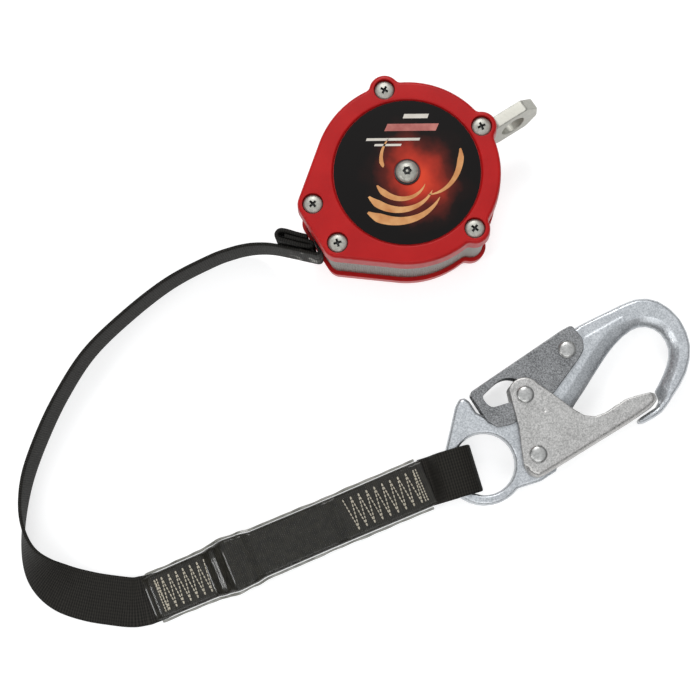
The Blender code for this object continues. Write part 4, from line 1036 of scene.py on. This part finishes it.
def make_sleeve(film, rim):
    """Clear sleeve shrunk over the pack, flattened into a rim along both sides."""
    start = 2.0
    end = 150.0
    count = 120
    rings = []
    for spare, order in ((0.75, range(count + 1)), (0.45, range(count, -1, -1))):
        for i in order:
            distance = start + (end - start) * i / count
            half, low, high = pack_station(distance)
            ripple = 0.35 * noise.noise(Vector((distance * 0.09, spare, 0.0)))
            wing = 0.9 + 0.7 * noise.noise(Vector((distance * 0.11, 3.0, 0.0)))
            middle = low + (high - low) * 0.42
            edge = half + spare
            round_pack = [(side, height + ripple * 0.4)
                          for side, height in pack_section(edge, low - spare, high + spare, 2.2)]
            rims = [(edge, middle + 0.7), (-edge, middle + 0.7), (-edge - wing, middle + 0.25),
                    (-edge - wing, middle - 0.25), (-edge, middle - 0.7), (edge, middle - 0.7),
                    (edge + wing, middle - 0.25), (edge + wing, middle + 0.25)]
            section = rims[:1] + round_pack[:15] + rims[1:5] + round_pack[15:] + rims[5:]
            rings.append([on_pack(distance, side, height) for side, height in section])
    solid = Solid()
    rows = [solid.ring(ring) for ring in rings]
    solid.walls(rows + rows[:1])
    mesh = solid.mesh("sleeve")
    for number, face in enumerate(mesh.polygons):
        face.material_index = int(number % len(rings[0]) in RIM_COLUMNS)
    return place_mesh("sleeve_film", mesh, [film, rim], ["absorber_sleeve"], 50.0)


def stitch(solid, start, end, radius=0.33):
    """One visible stitch: a short thread that dips at both ends."""
    run = end - start
    side = run.cross(Vector((0.0, 0.0, 1.0))).normalized()
    rings = []
    for share, swell in ((0.04, 0.35), (0.2, 0.9), (0.5, 1.0), (0.8, 0.9), (0.96, 0.35)):
        here = start + run * share + Vector((0.0, 0.0, 0.12 * (swell - 1.0)))
        rings.append([here + side * (radius * swell * x) + Vector((0.0, 0.0, radius * swell * y))
                      for x, y in circle(ORIGIN, 1.0, 6)])
    skin(rings, solid)


def stitch_line(solid, first, last, pitch=2.0):
    """A row of stitches between two places on the pack's top, given as (distance, side)."""
    length = math.hypot(last[0] - first[0], last[1] - first[1])
    count = max(1, round(length / pitch))
    spots = []
    for i in range(count + 1):
        share = i / count
        distance = first[0] + (last[0] - first[0]) * share
        side = first[1] + (last[1] - first[1]) * share
        top = pack_station(distance)[2] + 0.2 * (1.0 - (side / 11.8) ** 2)
        spots.append(on_pack(distance, side, top + 0.12))
    for one, other in zip(spots, spots[1:]):
        gap = (other - one) * 0.06
        stitch(solid, one + gap, other - gap)


def make_stitches(yarn):
    """Zigzag bar-tacks over both sewn ends of the pack."""
    side = 8.6
    for name, start, end, outer, zigs in (("near", 6.0, 33.0, 6.0, 7), ("far", 109.0, 147.5, 147.5, 9)):
        solid = Solid()
        step = (end - start) / zigs
        for i in range(zigs):
            here = start + step * i
            stitch_line(solid, (here, side), (here + 0.55 * step, -side))
            stitch_line(solid, (here + 0.55 * step, -side), (here + step, side))
        for place in (outer, outer + 1.3):
            stitch_line(solid, (place, side), (place, -side), 1.4)
        place_mesh(f"stitches_{name}", solid.mesh(f"stitches_{name}"), [yarn], (), SOFT)


def make_loop(web):
    """The webbing loop through the hook's eye."""
    origin = Vector((PACK_END.x, PACK_END.y, 0.0))
    path = [origin + LOOP_AXIS * (distance + 0.6) + Vector((0.0, 0.0, height))
            for distance, height in spline(LOOP_SIDE, 8)]
    across = [(-LOOP_AXIS.y, LOOP_AXIS.x, 0.0)] * len(path)
    mesh = web_mesh("loop", path, across, [WEB_WIDTH - 0.6] * len(path), SLIM_WEB)
    return place_mesh("loop_web", mesh, [web], ["connector_loop"], SOFT)


# ---- snap hook

def segment_distance(points, outline):
    """Distance from each of many points to an open line of points."""
    best = np.full(len(points), 1e9)
    for start, end in zip(outline, outline[1:]):
        a = np.array(start)
        b = np.array(end)
        run = b - a
        share = np.clip(((points - a) @ run) / max(run @ run, 1e-9), 0.0, 1.0)
        best = np.minimum(best, np.hypot(*(points - a - share[:, None] * run).T))
    return best


def rounded_share(distance, radius):
    """How much of a forging's full height is left at a distance from its edge."""
    inside = np.clip(1.0 - distance / radius, 0.0, 1.0)
    return np.sqrt(1.0 - inside ** 2)


def reshaped(node, voxel, smoothing, shape):
    """A CAD node as an even, slightly rounded mesh, its heights over the middle plane changed by shape."""
    source = add_object("remesh_source", frame["nodes"][node].data.copy())
    remesh = source.modifiers.new("remesh", 'REMESH')
    remesh.mode = 'VOXEL'
    remesh.voxel_size = voxel * MM
    smooth = source.modifiers.new("smooth", 'SMOOTH')
    smooth.iterations = smoothing
    smooth.factor = 0.5
    mesh = evaluated(source)
    mesh.materials.clear()
    spots = np.zeros(len(mesh.vertices) * 3, np.float32)
    mesh.vertices.foreach_get("co", spots)
    spots = spots.reshape(-1, 3) / MM
    spots[:, 2] = HOOK_MIDDLE + shape(spots[:, :2].astype(float), spots[:, 2] - HOOK_MIDDLE)
    mesh.vertices.foreach_set("co", (spots * MM).ravel())
    return mesh


def forged(flat, height):
    """Forged heights: round outer edges, a wide inner chamfer on the bow, a round stem and blank pads."""
    inner = segment_distance(flat, spline(BOW_INNER, 4))
    outer = segment_distance(flat, spline(BOW_OUTER, 4))
    from_eye = flat - HOOK_EYE
    reach = np.hypot(*from_eye.T)
    seen = np.degrees(np.arctan2(from_eye[:, 1], from_eye[:, 0]))
    free = (seen > HOOK_RIM_SPAN[0]) & (seen < HOOK_RIM_SPAN[1])
    rim = np.where(free, np.abs(reach - HOOK_RIM_R), 9.0)
    stem = np.clip((60.0 - flat[:, 1]) / 12.0, 0.0, 1.0)
    share = 0.36 + 0.64 * np.clip(inner / (4.6 + 2.6 * stem), 0.0, 1.0) ** 0.8
    eye = np.abs(reach - HOOK_EYE_R)
    for distance, kept, radius in ((outer, 0.62, 1.7), (eye, 0.75, 1.0), (rim, 0.7, 1.3)):
        share = np.minimum(share, kept + (1.0 - kept) * rounded_share(distance, radius))
    height = height * share
    for centre, turn, half_u, half_v, depth in PADS:
        along = np.array(polar(ORIGIN, 1.0, turn))
        across = np.array((along[1], -along[0]))
        edge = np.maximum(np.abs((flat - centre) @ along) - half_u, np.abs((flat - centre) @ across) - half_v)
        recess = depth * np.clip(0.5 - edge / 1.2, 0.0, 1.0)
        height = np.where(height > 0.25 * (HOOK_HIGH - HOOK_LOW), height - recess, height)
    beak = np.clip((55.0 - flat[:, 1]) / 5.0, 0.0, 1.0) * (flat[:, 0] > 150.0) * (flat[:, 1] > 30.0)
    return np.where(height > 0.0, height - 1.3 * beak * beak * (3.0 - 2.0 * beak), height)


def folded(flat, height):
    """Pressed heights of the gate: a round fold along its outer side, and a punch mark."""
    fold = segment_distance(flat, spline(GATE_SPINE, 4))
    height = height * (0.45 + 0.55 * rounded_share(fold, 3.4))
    punch = np.hypot(*(flat - PUNCH_MARK).T)
    return np.where(height > 0.0, height - 0.5 * np.clip(1.0 - punch / 1.5, 0.0, 1.0), height)


def make_hook_body(steel):
    """Forged body of the hook."""
    mesh = reshaped("hook_body", 0.5, 4, forged)
    place_mesh("hook_forging", mesh, [steel], ["hook_body"], 0.0)


def make_lever(steel):
    """Locking lever: a sheet channel open towards the body, with the lock pin's window and a pivot hole."""
    half = LEVER_HALF - LEVER_CLEAR
    block = plate([soften(LEVER_OUTLINE, 2.0)], HOOK_MIDDLE - half, HOOK_MIDDLE + half, 0.55, 4)
    room = plate([LEVER_ROOM], HOOK_MIDDLE - half + LEVER_SHEET, HOOK_MIDDLE + half - LEVER_SHEET)
    window = plate([soften(LEVER_WINDOW, 3.0)], *THROUGH)
    pivot = plate([circle(LEVER_PIVOT, PIVOT_HOLE_R, 32)], *THROUGH)
    mesh = cut_mesh(block, room, window, pivot)
    even_normals(place_mesh("lever_pressing", mesh, [steel], ["hook_lever"], body="lever"))


def make_gate(steel):
    """Gate: a pressed channel open towards the bow."""
    mesh = reshaped("hook_gate", 0.45, 3, folded)
    place_mesh("gate_pressing", mesh, [steel], ["hook_gate"], 50.0, "gate")


def make_rivets(zinc):
    """Domed rivets of lever, gate and lock pin."""
    for name, (x, y), half, body in (("lever_rivet", LEVER_PIVOT, LEVER_HALF, "housing"),
                                     ("gate_rivet", GATE_PIVOT, GATE_HALF, "housing"),
                                     ("lock_rivet", LOCK_PIN, GATE_HALF, "gate")):
        seat = half + 0.1
        top = [(2.3, seat), (4.2, seat), (4.4, seat + 0.15), (4.4, seat + 0.4),
               *dome(4.1, seat + 0.45, 1.1, range(10, 90, 10))]
        profile = [(0.0, -seat - 1.55)] + [(r, -z) for r, z in reversed(top)] + top + [(0.0, seat + 1.55)]
        mesh = lathe(profile, 40).moved(shift(x, y, HOOK_MIDDLE)).mesh(name)
        place_mesh(f"{name}_dome", mesh, [zinc], [name], body=body)


# ---- inner pieces

def dress_inner(finishes):
    """Procedural finishes on the CAD nodes that stay, by their material slot."""
    for row in frame["record"]["subparts"]:
        hidden = frame["nodes"][row["node"]].hide_render
        if row["material_slot"] in finishes and not hidden and row["node"] != "axle_washer":
            repaint(row["node"], finishes[row["material_slot"]])


def main():
    """Build the whole scene."""
    make_camera()
    make_sky()
    make_stage()
    web = webbing("strap_webbing", (0.004, 0.0038, 0.003), (0.026, 0.024, 0.02), worn=0.9)
    strap, path = make_strap(web)
    stopper = make_stopper(webbing("stopper_webbing", (0.004, 0.004, 0.0035), (0.022, 0.021, 0.018)))
    pack = make_pack(shrunk_webbing())
    sleeve = make_sleeve(shrink_film("shrink_film", (0.02, 0.02, 0.017), (0.05, 0.05, 0.043), 0.04),
                         shrink_film("shrink_rim", (0.12, 0.12, 0.1), (0.42, 0.42, 0.38), 0.8))
    loop = make_loop(webbing("loop_webbing", (0.004, 0.0036, 0.0028), (0.022, 0.02, 0.016), rib=1.3))
    make_stitches(thread())
    zinc = plated_metal("zinc_plate", (0.31, 0.305, 0.27), (0.43, 0.425, 0.38), 0.4, 700.0, 0.01, 0.45)
    # Near black: used for the black plastic pieces and the axle washer, and as painted shade inside the
    # screws' cross recesses and the bolt's lobed recess.
    dark = plain("black_and_painted_recess_shade", (0.012, 0.012, 0.012), (0.03, 0.03, 0.03), 0.5)
    steel = plated_metal("plate_steel", (0.36, 0.355, 0.315), (0.47, 0.465, 0.415), 0.42, 500.0, 0.01, 0.6)
    make_covers(red_plastic())
    make_band(plated_metal("band_alloy", (0.15, 0.145, 0.13), (0.25, 0.24, 0.215), 0.45, 600.0, 0.02))
    make_screws(zinc, dark)
    make_label(label_film(), ink("ink_amber", (0.45, 0.16, 0.035), (0.62, 0.31, 0.11)),
               ink("ink_cream", (0.5, 0.46, 0.4), (0.6, 0.56, 0.5)),
               ink("ink_rose", (0.3, 0.06, 0.05), (0.46, 0.15, 0.12)))
    make_bolt(zinc, dark)
    make_eye(steel)
    make_hook_body(plated_metal("hook_zinc", (0.36, 0.38, 0.4), (0.62, 0.64, 0.66), 0.36))
    make_lever(plated_metal("lever_zinc", (0.11, 0.112, 0.115), (0.34, 0.345, 0.35), 0.42, 1500.0, 0.04))
    make_gate(plated_metal("gate_zinc", (0.32, 0.315, 0.305), (0.6, 0.59, 0.575), 0.4, 1500.0, 0.04))
    make_rivets(plated_metal("rivet_zinc", (0.36, 0.36, 0.35), (0.5, 0.5, 0.49), 0.34, 900.0, 0.01))
    dress_inner({
        "frame_steel": steel, "zinc": zinc, "webbing": web, "black_plastic": dark,
        "nylon": plain("nylon", (0.5, 0.48, 0.42), (0.62, 0.6, 0.54), 0.5),
        "bronze": plain("bronze", (0.4, 0.25, 0.1), (0.55, 0.38, 0.18), 0.35, 1.0),
        "spring_steel": plain("spring_steel", (0.25, 0.25, 0.27), (0.42, 0.42, 0.44), 0.3, 1.0)})


main()
